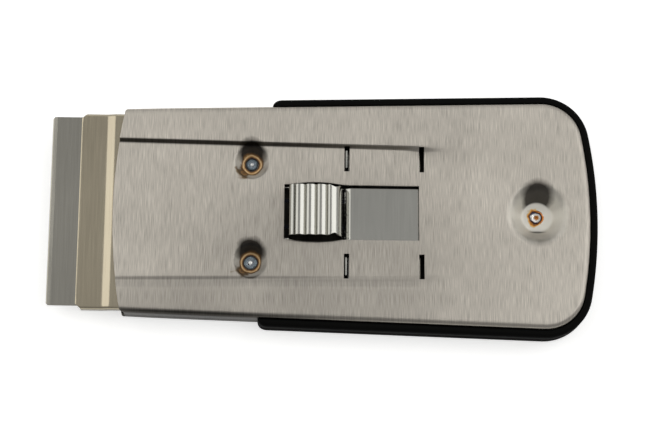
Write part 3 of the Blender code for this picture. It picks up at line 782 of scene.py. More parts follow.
@dataclass
class Pressing(SubAssembly):
    """A shell pressed from one sheet: outline rings, bent rim, dimples and wall."""

    plan: HandlePlan
    name: str
    node: str
    outer: float
    inward: float
    rim: float
    dimples: tuple[Dimple, ...]
    gauge: float = 0.5
    edge: float = 0.07
    bend: float = 1.2
    bend_steps: int = 7
    pitch: float = 1.0
    side_rows: int = 22
    blank_front: float = 5.0
    fine_margins: Point = (1.6, 1.1)
    on_outline: float = 0.01
    flange: float = 0.7
    flange_start: float = 46.5

    def panel_depth(self, x: float, y: float) -> float:
        """Depth of the lowered panel at a point; a plain shell has none."""
        return 0.0

    def depth_at(self, x: float, y: float) -> float:
        """Measure how far the die pushes the sheet inwards at a point.

        Args:
            x: X of the point.
            y: Y of the point.

        Returns:
            The depth of the panel and the dimples.
        """
        depth = self.panel_depth(x, y)
        for dimple in self.dimples:
            depth = soft_max(depth, dimple.depth_at(x, y), dimple.mouth_blend)
        return depth

    def bend_depth(self, inside: float) -> float:
        """Fall of the bent rim at a distance from the outline."""
        span = self.bend - min(max(inside, 0.0), self.bend)
        return self.bend - math.sqrt(self.bend**2 - span**2)

    def blank(self) -> bmesh.types.BMesh:
        """Cut the flat blank.

        Returns:
            A bmesh with rings along its outline, cut into squares inside them.
        """
        shape = bmesh.new()
        half = self.plan.half_width(self.blank_front)
        outline = [(self.blank_front, half), (self.blank_front, -half)] + self.plan.rear_path()
        face = shape.faces.new([shape.verts.new((x, y, 0)) for x, y in outline])
        done = 0.0
        for turn in spread(0, math.pi / 2, self.bend_steps)[1:]:
            ring = self.bend * (1 - math.cos(turn))
            bmesh.ops.inset_region(
                shape, faces=[face], thickness=ring - done, use_even_offset=True, use_boundary=True
            )
            done = ring
        face.material_index = 1
        self.slice(shape, (self.plan.front, 0, 0), (1, 0, 0), clear=True)
        x = self.plan.front + self.pitch
        while x < self.plan.rear:
            self.slice(shape, (x, 0, 0), (1, 0, 0))
            x += self.pitch
        for start, end in self.side_lines():
            for sign in (1, -1):
                along = Vector((end[0] - start[0], sign * (end[1] - start[1]), 0))
                across = Vector((-along.y, along.x, 0)).normalized()
                self.slice(shape, (start[0], sign * start[1], 0), across, inner=True)
        self.slice(shape, (0, 0, 0), (0, 1, 0), inner=True)
        return shape

    def straight_lines(self, ys: Sequence[float]) -> list[tuple[Point, Point]]:
        """Lines along the handle, each from the front to the rear at one Y."""
        return [((self.plan.front, y), (self.plan.rear, y)) for y in ys]

    def side_lines(self) -> list[tuple[Point, Point]]:
        """Lines along the handle that cut the blank."""
        return self.straight_lines(
            spread(self.pitch, self.side_rows * self.pitch, self.side_rows - 1)
        )

    @staticmethod
    def slice(
        shape: bmesh.types.BMesh,
        place: Sequence[float],
        normal: Sequence[float],
        inner: bool = False,
        clear: bool = False,
        where: Callable[[Vector], bool] | None = None,
    ) -> None:
        """Cut faces along a plane.

        Args:
            shape: The blank.
            place: A point of the plane.
            normal: The plane's normal.
            inner: Cut only the faces inside the rings.
            clear: Remove what lies behind the plane.
            where: Test on a face's middle that limits the cut.
        """
        faces = [
            f
            for f in shape.faces
            if (f.material_index or not inner) and (where is None or where(f.calc_center_bounds()))
        ]
        edges = {e for f in faces for e in f.edges}
        verts = {v for f in faces for v in f.verts}
        bmesh.ops.bisect_plane(
            shape,
            geom=[*faces, *edges, *verts],
            dist=TINY,
            plane_co=place,
            plane_no=normal,
            clear_inner=clear,
        )

    def refine(self, shape: bmesh.types.BMesh) -> None:
        """Halve the squares twice where the dimples are.

        Args:
            shape: The blank.
        """
        for margin in self.fine_margins:
            near = [
                f
                for f in shape.faces
                if f.material_index
                and any(d.is_near(*f.calc_center_median().xy, margin) for d in self.dimples)
            ]
            edges = {e for f in near for e in f.edges}
            bmesh.ops.subdivide_edges(shape, edges=list(edges), cuts=1, use_grid_fill=True)

    def cut_openings(self, shape: bmesh.types.BMesh) -> None:
        """Cut the openings of the blank; a plain shell has none."""

    def shift(self, x: float, y: float) -> Point:
        """Where a point of the blank ends up in plan."""
        return x + self.plan.front_shift(x, y), y

    def form(self, shape: bmesh.types.BMesh) -> None:
        """Press the blank, then turn its rim down and out.

        Args:
            shape: The blank, which becomes the shell's outer face.
        """
        rim = [
            e
            for e in shape.edges
            if e.is_boundary and all(self.plan.inside(*v.co.xy) < self.on_outline for v in e.verts)
        ]
        for vert in shape.verts:
            inside = self.plan.inside(*vert.co.xy)
            x, y = self.shift(*vert.co.xy)
            depth = self.depth_at(x, y) + self.bend_depth(inside)
            vert.co = (x, y, self.outer + self.inward * depth)
        rim = self.turn_down(shape, rim, self.rim - self.inward * self.gauge)
        ahead = [e for e in rim if min(v.co.x for v in e.verts) < self.flange_start]
        behind = [e for e in rim if e not in set(ahead)]
        self.turn_down(shape, ahead, self.rim)
        grown = bmesh.ops.extrude_edge_only(shape, edges=behind)["geom"]
        for vert in of_kind(grown, bmesh.types.BMVert):
            vert.co += self.plan.normal(*vert.co.xy) * self.flange

    @staticmethod
    def turn_down(
        shape: bmesh.types.BMesh, edges: list[bmesh.types.BMEdge], height: float
    ) -> list[bmesh.types.BMEdge]:
        """Extrude edges straight to a height.

        Args:
            shape: The shell.
            edges: Edges of its rim.
            height: Z of the new edges.

        Returns:
            The new edges along the rim.
        """
        grown = bmesh.ops.extrude_edge_only(shape, edges=edges)["geom"]
        for vert in of_kind(grown, bmesh.types.BMVert):
            vert.co.z = height
        kept = of_kind(grown, bmesh.types.BMEdge)
        return [e for e in kept if all(abs(v.co.z - height) < TINY for v in e.verts)]

    def build(self, outside: SteelFinish, inside: SteelFinish) -> None:
        """Make the shell, dress it and mount it.

        Args:
            outside: Finish of the faces that show.
            inside: Finish of the faces that look into the handle.
        """
        shape = self.blank()
        self.cut_openings(shape)
        self.refine(shape)
        self.form(shape)
        for face in shape.faces:
            face.material_index = 0
        face_out(shape, -self.inward)
        self.complete(
            shape,
            self.name,
            self.node,
            outside,
            inside,
            gauge=self.gauge,
            inside_slot=1,
            edge=self.edge,
        )


@dataclass
class TopPressing(Pressing):
    """Upper shell, with its lowered panel, thumb window and locking slots."""

    recess_depth: float = 0.9
    recess_start: float = 5.75
    recess_end: float = 72.74
    front_floor_half: float = 13.9
    rear_floor_half: float = 12.8
    front_run: float = 0.4
    rear_run: float = 0.65
    run_limit: float = 1.2
    left_run: float = 1.7
    right_blend: float = 0.18
    left_blend: float = 0.4
    rear_blend: float = 0.35
    ramp: float = 9.5
    fade_start: float = 71.0
    fade_rate: float = 0.42
    window: tuple[Point, Point] = ((46.1, -5.54), (72.69, 5.54))
    bulge_span: Point = (47.1, 57.7)
    bulge: float = 0.5
    bulge_reach: float = 2.5
    slot_places: tuple[float, ...] = (58.42, 73.17)
    slot_y: float = 10.83
    slot_width: float = 1.05
    slot_length: float = 5.0
    opening_margin: float = 1.2
    panel_rows: Rows = (1.0, 11.0, 10)
    step_rows: Rows = (-0.55, 1.55, 16)
    rail_rows: tuple[float, ...] = (14.9, 15.3, 15.7, 16.2)
    outer_rows: Rows = (17.2, 22.2, 5)

    def share_at(self, x: float) -> float:
        """Share of the panel's length that lies ahead of X."""
        return (x - self.recess_start) / (self.recess_end - self.recess_start)

    def floor_half(self, x: float) -> float:
        """Half width of the panel's floor at X."""
        growth = self.rear_floor_half - self.front_floor_half
        return self.front_floor_half + growth * self.share_at(x)

    def run(self, x: float) -> float:
        """Width of the step beside the panel at X."""
        share = min(self.share_at(x), self.run_limit)
        return self.front_run + (self.rear_run - self.front_run) * share

    def panel_depth(self, x: float, y: float) -> float:
        """Measure the lowered panel, whose left step is gentler and whose rear end is a ramp.

        Args:
            x: X of the point.
            y: Y of the point.

        Returns:
            The depth at the point.
        """
        full = self.recess_depth
        run = self.run(x) if y > 0 else self.left_run
        blend = self.right_blend if y > 0 else self.left_blend
        outer = self.floor_half(x) + run
        run += max(x - self.fade_start, 0.0) * self.fade_rate
        side = (outer - abs(y)) * full / run
        rear = full * (1 - (x - self.recess_end) / self.ramp)
        panel = soft_min(full, soft_min(side, rear, self.rear_blend), blend)
        return soft_max(0.0, panel, blend)

    def side_lines(self) -> list[tuple[Point, Point]]:
        """Rule even lines in the panel and the rails, and close ones down the step.

        Returns:
            The two ends of each line.
        """
        ends = (self.plan.front, self.plan.rear)
        step = [
            tuple((x, self.floor_half(x) + self.run(x) * share) for x in ends)
            for share in spread(*self.step_rows)
        ]
        rails = [*self.rail_rows, *spread(*self.outer_rows)]
        return self.straight_lines(spread(*self.panel_rows)) + step + self.straight_lines(rails)

    def openings(self) -> Iterable[tuple[Point, Point]]:
        """Find the window and the slots.

        Yields:
            Lowest and highest corners of each.
        """
        yield self.window
        for x in self.slot_places:
            for y in (self.slot_y, -self.slot_y):
                yield (
                    (x - self.slot_width / 2, y - self.slot_length / 2),
                    (x + self.slot_width / 2, y + self.slot_length / 2),
                )

    def cut_openings(self, shape: bmesh.types.BMesh) -> None:
        """Cut the window and the slots out of the blank.

        Args:
            shape: The blank.
        """
        for low, high in self.openings():
            self.cut_opening(shape, low, high)

    def cut_opening(self, shape: bmesh.types.BMesh, low: Point, high: Point) -> None:
        """Cut one opening out of the blank.

        Args:
            shape: The blank.
            low: Lowest corner of the opening.
            high: Highest corner of the opening.
        """

        def within(middle: Vector, margin: float = 0.0) -> bool:
            """Whether a face's middle lies in the opening or a margin of it."""
            return all(low[i] - margin < middle[i] < high[i] + margin for i in (0, 1))

        def near(middle: Vector) -> bool:
            """Whether a face's middle lies in or close round the opening."""
            return within(middle, self.opening_margin)

        for corner in (low, high):
            self.slice(shape, (*corner, 0), (1, 0, 0), inner=True, where=near)
            self.slice(shape, (*corner, 0), (0, 1, 0), inner=True, where=near)
        cut = [f for f in shape.faces if within(f.calc_center_median())]
        bmesh.ops.delete(shape, geom=cut, context="FACES")

    def shift(self, x: float, y: float) -> Point:
        """Set a point back to the front arc, and bow the window's long edges.

        Args:
            x: X of the point on the blank.
            y: Y of the point on the blank.

        Returns:
            Where the point ends up in plan.
        """
        x, y = super().shift(x, y)
        start, end = self.bulge_span
        share = (x - start) / (end - start)
        edge = self.window[1][1]
        if 0 < share < 1 and edge - TINY < abs(y) < edge + self.bulge_reach:
            bow = self.bulge * 4 * share * (1 - share) * (1 - (abs(y) - edge) / self.bulge_reach)
            y += math.copysign(bow, y)
        return x, y


@dataclass
class EdgeGrip(SubAssembly):
    """Black vinyl channel pushed over the flanges, with a groove round its middle."""

    plan: HandlePlan
    proud: float = 1.55
    bottom: float = 0.55
    top: float = 5.8
    corner: float = 0.8
    corner_steps: int = 8
    lip: float = 0.25
    lip_steps: int = 4
    clear: float = 0.05
    groove_height: float = 3.0
    groove_depth: float = 0.25
    groove_half: float = 0.42
    groove_span: float = 1.5
    groove_fall: float = 1.6
    groove_steps: int = 12
    left_end: float = 41.2
    right_end: float = 43.6
    nose: float = 1.8
    nose_start: float = 0.12
    nose_steps: int = 9
    limb_steps: int = 30
    limb_end: float = 12.0
    crease: float = 50.0

    def profile(self) -> list[Point]:
        """Draw the section.

        Returns:
            Distances out from the wall and heights, from the inside top round.
        """
        quarter = math.pi / 2
        inner = self.clear + self.lip
        outer = self.proud - self.corner
        points = arc((inner, self.top - self.lip), self.lip, math.pi, quarter, self.lip_steps)
        points += arc((outer, self.top - self.corner), self.corner, quarter, 0, self.corner_steps)
        reach = self.groove_half * self.groove_span
        for z in spread(reach, -reach, self.groove_steps):
            away = z / self.groove_half * self.groove_fall
            dip = self.groove_depth * math.exp(-(away**2))
            points.append((self.proud - dip, self.groove_height + z))
        low = self.bottom + self.corner
        points += arc((outer, low), self.corner, 0, -quarter, self.corner_steps)
        points += arc(
            (inner, self.bottom + self.lip), self.lip, -quarter, -math.pi, self.lip_steps
        )
        return points

    def stations(self) -> list[tuple[Vector, Vector, float]]:
        """Find where the section stands along the handle, with its rounded ends.

        Returns:
            Wall point, outward direction and share of the section, from left to right.
        """
        side, _ = self.plan.angles()
        path: list[tuple[Vector, Vector, float]] = []
        for sign, start in ((-1, self.left_end), (1, self.right_end)):
            out = Vector((math.cos(side), sign * math.sin(side), 0))
            limb = [
                (start + self.nose * (1 - math.cos(turn)), math.sin(turn))
                for turn in spread(self.nose_start, math.pi / 2, self.nose_steps)
            ]
            rest = spread(start + self.nose, self.plan.rear - self.limb_end, self.limb_steps)
            limb += [(x, 1.0) for x in rest[1:]]
            at = [(Vector((x, sign * self.plan.half_width(x), 0)), out, s) for x, s in limb]
            if sign < 0:
                rear = [Vector((x, y, 0)) for x, y in self.plan.rear_path()]
                path = at + [(p, self.plan.normal(p.x, p.y), 1.0) for p in rear]
            else:
                path += at[::-1]
        return path

    def point_at(self, station: tuple[Vector, Vector, float], corner: Point) -> Vector:
        """Place a point of the section at a station.

        Args:
            station: Wall point, outward direction and share of the section.
            corner: Distance out from the wall and height.

        Returns:
            The point in space.
        """
        wall, out, share = station
        reach, height = corner
        return wall + out * (self.clear + (reach - self.clear) * share) + Vector((0, 0, height))

    def build(self, finish: VinylFinish) -> None:
        """Sweep the section round the handle, dress it and mount it.

        Args:
            finish: Finish of the vinyl.
        """
        shape = bmesh.new()
        path = self.stations()
        section = self.profile()
        ring = [*section, section[0]]
        sheet(shape, len(path), len(ring), lambda row, at: self.point_at(path[row], ring[at]))
        bmesh.ops.remove_doubles(shape, verts=shape.verts, dist=TINY)
        bmesh.ops.holes_fill(shape, edges=[e for e in shape.edges if e.is_boundary])
        bmesh.ops.recalc_face_normals(shape, faces=shape.faces)
        self.complete(shape, "vinyl_edge", "edge_grip", finish, crease=self.crease)


@dataclass
class SpotWelds(SubAssembly):
    """Nuggets of the spot welds in the dimple floors.

    The crown's points are shares of the radius and how far each lies below the top.
    """

    floor: float = 3.6
    low: float = 2.3
    proud: float = 0.1
    shoulder: float = 0.02
    crown: tuple[Point, ...] = (
        (0.0, 0.0),
        (0.15, 0.03),
        (0.3, 0.08),
        (0.5, 0.07),
        (0.7, 0.02),
        (0.84, 0.02),
        (0.94, 0.07),
    )
    turns: int = 32
    crease: float = 50.0
    splash: float = 0.07
    splash_pitch: float = 2.2
    places: tuple[tuple[str, float, float, float], ...] = (
        ("front_right_weld", FRONT_X, FRONT_YS[0], 1.33),
        ("front_left_weld", FRONT_X, FRONT_YS[1], 1.33),
        ("rear_weld", REAR_X, 0.0, 1.45),
    )

    def build(self, finish: SteelFinish) -> None:
        """Spin each nugget from its section, dress it and mount it.

        Args:
            finish: Finish of the welds.
        """
        top = self.floor + self.proud
        for node, x, y, radius in self.places:
            shape = bmesh.new()
            section = [(radius * share, top - drop) for share, drop in self.crown]
            section += [(radius, self.floor - self.shoulder), (radius, self.low), (0, self.low)]
            points = [shape.verts.new((x + r, y, z)) for r, z in section]
            edges = [shape.edges.new(pair) for pair in zip(points, points[1:])]
            bmesh.ops.spin(
                shape,
                geom=[*points, *edges],
                cent=(x, y, 0),
                axis=(0, 0, 1),
                angle=2 * math.pi,
                steps=self.turns,
                use_merge=True,
            )
            bmesh.ops.remove_doubles(shape, verts=shape.verts, dist=TINY)
            for vert in (v for v in shape.verts if v.co.z > self.floor):
                vert.co.z += self.splash * noise.noise(vert.co * self.splash_pitch)
            bmesh.ops.recalc_face_normals(shape, faces=shape.faces)
            name = node.replace("weld", "nugget")
            self.complete(shape, name, node, finish, crease=self.crease)


@dataclass
class BladeCarrier(SubAssembly):
    """Folded sheet that holds the blade: lip, jog, deck, sides and tongue."""

    body: ClassVar[Body] = Body.CARRIER
    gauge: float = 0.4
    edge: float = 0.06
    lip_front: float = 5.75
    lip_top: float = 4.75
    deck_top: float = 5.1
    jog: Point = (10.85, 12.45)
    jog_blend: float = 0.06
    end: float = 20.55
    half: float = 19.72
    bend: float = 0.6
    bend_steps: int = 6
    foot: float = 2.75
    clip: float = 1.0
    tongue_half: float = 5.3
    tongue_end: float = 25.05
    lip_lines: tuple[float, ...] = (6.2, 6.8, 8.0, 10.0)
    jog_lines: Rows = (10.5, 12.8, 23)
    deck_lines: tuple[float, ...] = (14.0, 17.0)
    deck_columns: Rows = (7.0, 17.0, 5)
    before_bend: tuple[float, ...] = (0.4, 0.2)

    def top_at(self, x: float) -> float:
        """Find the height of the top surface, with soft bends at the jog.

        Args:
            x: X of the place.

        Returns:
            Its Z.
        """
        start, end = self.jog
        total = self.deck_top - self.lip_top
        rise = (x - start) * total / (end - start)
        return self.lip_top + soft_max(0.0, soft_min(total, rise, self.jog_blend), self.jog_blend)

    def fold(self, along: float) -> Point:
        """Bend the sheet down at its sides.

        Args:
            along: Distance along the folded sheet from its middle.

        Returns:
            Y of the point and how far it has fallen.
        """
        flat = self.half - self.bend
        reach = abs(along)
        if reach <= flat:
            return along, 0.0
        turn = (reach - flat) / self.bend
        if turn <= math.pi / 2:
            y = flat + self.bend * math.sin(turn)
            return math.copysign(y, along), self.bend * (1 - math.cos(turn))
        fall = reach - flat - self.bend * math.pi / 2 + self.bend
        return math.copysign(self.half, along), fall

    def columns(self) -> list[float]:
        """Divide the sheet across.

        Returns:
            Distances along the folded sheet, from its left foot to its right one.
        """
        flat = self.half - self.bend
        arc_length = self.bend * math.pi / 2
        side = self.lip_top - self.bend - self.foot
        across = [0.0, self.tongue_half, *spread(*self.deck_columns)]
        across += [flat - gap for gap in self.before_bend]
        across += [flat + arc_length * s for s in spread(0, 1, self.bend_steps)]
        across.append(flat + arc_length + side)
        return mirrored(across)

    def point_at(self, x: float, along: float) -> Place:
        """Place a point of the folded sheet, whose front corners are clipped.

        Args:
            x: X of the point on the unclipped sheet.
            along: Distance along the folded sheet from its middle.

        Returns:
            The point in space.
        """
        clip = min(max(abs(along) - (self.half - self.clip), 0.0), self.clip)
        x = max(x, self.lip_front + clip)
        y, fall = self.fold(along)
        return x, y, max(self.top_at(x) - fall, self.foot)

    def build(self, finish: SteelFinish) -> None:
        """Fold the sheet, dress it and mount it.

        Args:
            finish: Finish of the sheet.
        """
        shape = bmesh.new()
        ys = self.columns()
        xs = [self.lip_front, *self.lip_lines, *spread(*self.jog_lines), *self.deck_lines, self.end]
        sheet(shape, len(xs), len(ys), lambda row, column: self.point_at(xs[row], ys[column]))
        bmesh.ops.dissolve_degenerate(shape, edges=shape.edges, dist=TINY)

        def at_tongue(vert: bmesh.types.BMVert) -> bool:
            """Whether a vertex lies where the tongue leaves the rear edge."""
            return vert.co.x > self.end - TINY and abs(vert.co.y) < self.tongue_half + TINY

        rear = [e for e in shape.edges if e.is_boundary and all(at_tongue(v) for v in e.verts)]
        grown = bmesh.ops.extrude_edge_only(shape, edges=rear)["geom"]
        tip = of_kind(grown, bmesh.types.BMVert)
        bmesh.ops.translate(shape, verts=tip, vec=(self.tongue_end - self.end, 0, 0))
        face_out(shape)
        self.complete(
            shape, "carrier_sheet", "blade_carrier", finish, gauge=self.gauge, edge=self.edge
        )


@dataclass
class RazorBlade(SubAssembly):
    """Single-edge blade with a ground edge and clipped front corners."""

    body: ClassVar[Body] = Body.BLADE
    middle: float = 4.135
    thickness: float = 0.23
    length: float = 38.1
    back: float = 18.665
    bevel: float = 0.9
    hone: float = 0.22
    hone_share: float = 0.42
    edge_half: float = 0.015
    clip: float = 0.4
    crease: float = 3.0

    def build(self, finish: SteelFinish) -> None:
        """Draw the blade's section, run it across, clip it, dress it and mount it.

        Args:
            finish: Finish of the blade.
        """
        shape = bmesh.new()
        thick = self.thickness / 2
        upper = [(0, self.edge_half), (self.hone, thick * self.hone_share), (self.bevel, thick)]
        upper.append((self.back, thick))
        section = upper + [(x, -z) for x, z in reversed(upper)]
        half = self.length / 2
        face = shape.faces.new(
            [shape.verts.new((x, -half, self.middle + z)) for x, z in section]
        )
        grown = bmesh.ops.extrude_face_region(shape, geom=[face])["geom"]
        far = of_kind(grown, bmesh.types.BMVert)
        bmesh.ops.translate(shape, verts=far, vec=(0, self.length, 0))
        for sign in (1, -1):
            bmesh.ops.bisect_plane(
                shape,
                geom=[*shape.verts, *shape.edges, *shape.faces],
                plane_co=(0, sign * (half - self.clip), 0),
                plane_no=(-1, sign, 0),
                clear_outer=True,
            )
            bmesh.ops.holes_fill(shape, edges=[e for e in shape.edges if e.is_boundary])
        bmesh.ops.recalc_face_normals(shape, faces=shape.faces)
        self.complete(shape, "ground_blade", "razor_blade", finish, crease=self.crease)


@dataclass
class ThumbSlide(SubAssembly):
    """Spring strip with the ribbed thumb button pressed up out of it.

    The slopes are distances along X, each with the angle in degrees at which the metal rises.
    """

    body: ClassVar[Body] = Body.THUMB
    gauge: float = 0.4
    edge: float = 0.05
    crease: float = 34.0
    start: float = 20.85
    end: float = 75.19
    top: float = 4.55
    half: float = 5.3
    strip_steps: int = 12
    plate_lead: float = 1.0
    plate_steps: int = 10
    button_half: float = 5.05
    button_top: float = 8.3
    front: float = 47.1
    front_foot: Point = (0.4, 0.1)
    edge_radius: float = 0.9
    edge_drop: float = 0.3
    edge_steps: int = 8
    valley_start: float = 48.14
    ribs: int = 3
    rib_slopes: tuple[Point, ...] = (
        (0.0, 66),
        (0.18, 64),
        (0.24, 38),
        (0.60, 11),
        (1.02, -10),
        (1.72, -33),
        (1.90, -44),
        (2.12, -60),
    )
    lobe_slopes: tuple[Point, ...] = (
        (0.0, 66),
        (0.18, 64),
        (0.24, 38),
        (0.50, 11),
        (0.85, -9),
        (1.75, -33),
        (2.30, -46),
        (2.62, -62),
        (2.82, -76),
        (2.90, -80),
    )
    slope_step: float = 0.06
    lobe_end: float = 57.72
    wall_foot: float = 4.6
    waist: Place = (54.8, 57.4, 0.42)
    front_gap: float = 45.3
    plate_start: float = 58.0
    plate_slopes: tuple[Point, ...] = ((0.0, 38), (0.5, 30), (1.2, 13), (1.34, 0))
    torn_depth: float = 0.2
    torn_reach: float = 0.9
    torn_pitch: float = 0.83
    torn_seed: float = 4.0
    columns: Rows = (0.0, 0.92, 24)
    rail_share: float = 0.966
    rail_slack: float = 0.02

    def roll(self, slopes: Sequence[Point], closed: bool) -> list[Point]:
        """Turn a line's slopes into its points.

        Args:
            slopes: Distances along X and the slope there in degrees.
            closed: Whether the line ends at the height at which it starts.

        Returns:
            Distances and heights, both from zero.
        """
        points = [(0.0, 0.0)]
        for (x, slope), (end, last) in zip(slopes, slopes[1:]):
            steps = max(2, round((end - x) / self.slope_step))
            for share in spread(0, 1, steps)[1:]:
                mean = math.radians(slope + (last - slope) * (share - 0.5 / steps))
                rise = math.tan(mean) * (end - x) / steps
                points.append((x + (end - x) * share, points[-1][1] + rise))
        tilt = points[-1][1] / points[-1][0] if closed else 0.0
        return [(x, z - tilt * x) for x, z in points]

    def ribs_line(self) -> list[Point]:
        """Draw the ribs and the rear lobe: steep fronts, long rear slopes.

        Returns:
            Their side view.
        """
        rib = self.roll(self.rib_slopes, closed=True)
        lobe = self.roll(self.lobe_slopes, closed=False)
        valley = self.button_top - max(z for _, z in [*rib, *lobe])
        points: list[Point] = []
        x = self.valley_start
        for _ in range(self.ribs):
            points += [(x + dx, valley + dz) for dx, dz in rib[:-1]]
            x += self.rib_slopes[-1][0]
        points += [(x + dx, valley + dz) for dx, dz in lobe]
        return points + [(self.lobe_end, self.wall_foot)]

    def path(self) -> list[Point]:
        """Draw the strip's top surface.

        Returns:
            Its side view from front to rear.
        """
        points = [(x, self.top) for x in spread(self.start, self.front_gap, self.strip_steps)]
        lead, lift = self.front_foot
        points += [(self.front - lead, self.top), (self.front, self.top + lift)]
        edge = (self.front + self.edge_radius, self.button_top - self.edge_drop - self.edge_radius)
        points += arc(edge, self.edge_radius, math.pi, math.pi / 2, self.edge_steps)
        points += self.ribs_line()
        torn = self.roll(self.plate_slopes, closed=False)
        low = self.top - torn[-1][1]
        points += [(self.plate_start + dx, low + dz) for dx, dz in torn]
        plate = spread(points[-1][0] + self.plate_lead, self.end, self.plate_steps)
        return points + [(x, self.top) for x in plate]

    def in_gap(self, middle: Vector) -> bool:
        """Tell whether a face is to be cut away.

        Args:
            middle: The face's middle.

        Returns:
            Whether it lies in the opening before or behind the button.
        """
        if abs(middle.y) > self.half * (self.rail_share - self.rail_slack):
            return False
        ahead = self.front_gap < middle.x < self.front and middle.z < self.top + self.gauge
        behind = self.lobe_end < middle.x < self.plate_start and middle.z < self.wall_foot
        return ahead or behind

    def half_at(self, x: float, z: float) -> float:
        """Find the half width of the strip, whose button narrows at its rear lobe.

        Args:
            x: X of a point of the path.
            z: Z of that point.

        Returns:
            The half width there.
        """
        if x < self.front + TINY and z < self.top + self.gauge:
            return self.half
        if x > self.plate_start - TINY:
            return self.half
        start, end, depth = self.waist
        share = min(max((x - start) / (end - start), 0.0), 1.0)
        return self.button_half - depth * math.sin(math.pi * share) ** 2

    def torn_at(self, x: float, column: int) -> float:
        """Measure how far a point is set back or forwards by the torn edge of the plate.

        Args:
            x: X of the point.
            column: Number of its line along the strip.

        Returns:
            The shift along X, which fades out away from the edge.
        """
        near = max(0.0, 1 - abs(x - self.plate_start) / self.torn_reach)
        tooth = noise.noise((column * self.torn_pitch, 0.0, self.torn_seed))
        return self.torn_depth * near * tooth

    def build(self, finish: SteelFinish) -> None:
        """Run the side view across the strip, dress it and mount it.

        Args:
            finish: Finish of the strip.
        """
        shape = bmesh.new()
        path = self.path()
        across = mirrored([*spread(*self.columns), self.rail_share, 1.0])

        def place(row: int, column: int) -> Place:
            """A point of the strip, with a torn front edge on its plate."""
            x, z = path[row]
            return x + self.torn_at(x, column), across[column] * self.half_at(x, z), z

        sheet(shape, len(path), len(across), place)
        bmesh.ops.remove_doubles(shape, verts=shape.verts, dist=TINY)
        gap = [f for f in shape.faces if self.in_gap(f.calc_center_median())]
        bmesh.ops.delete(shape, geom=gap, context="FACES")
        face_out(shape)
        self.complete(
            shape,
            "ribbed_slide",
            "thumb_slide",
            finish,
            gauge=self.gauge,
            edge=self.edge,
            crease=self.crease,
        )


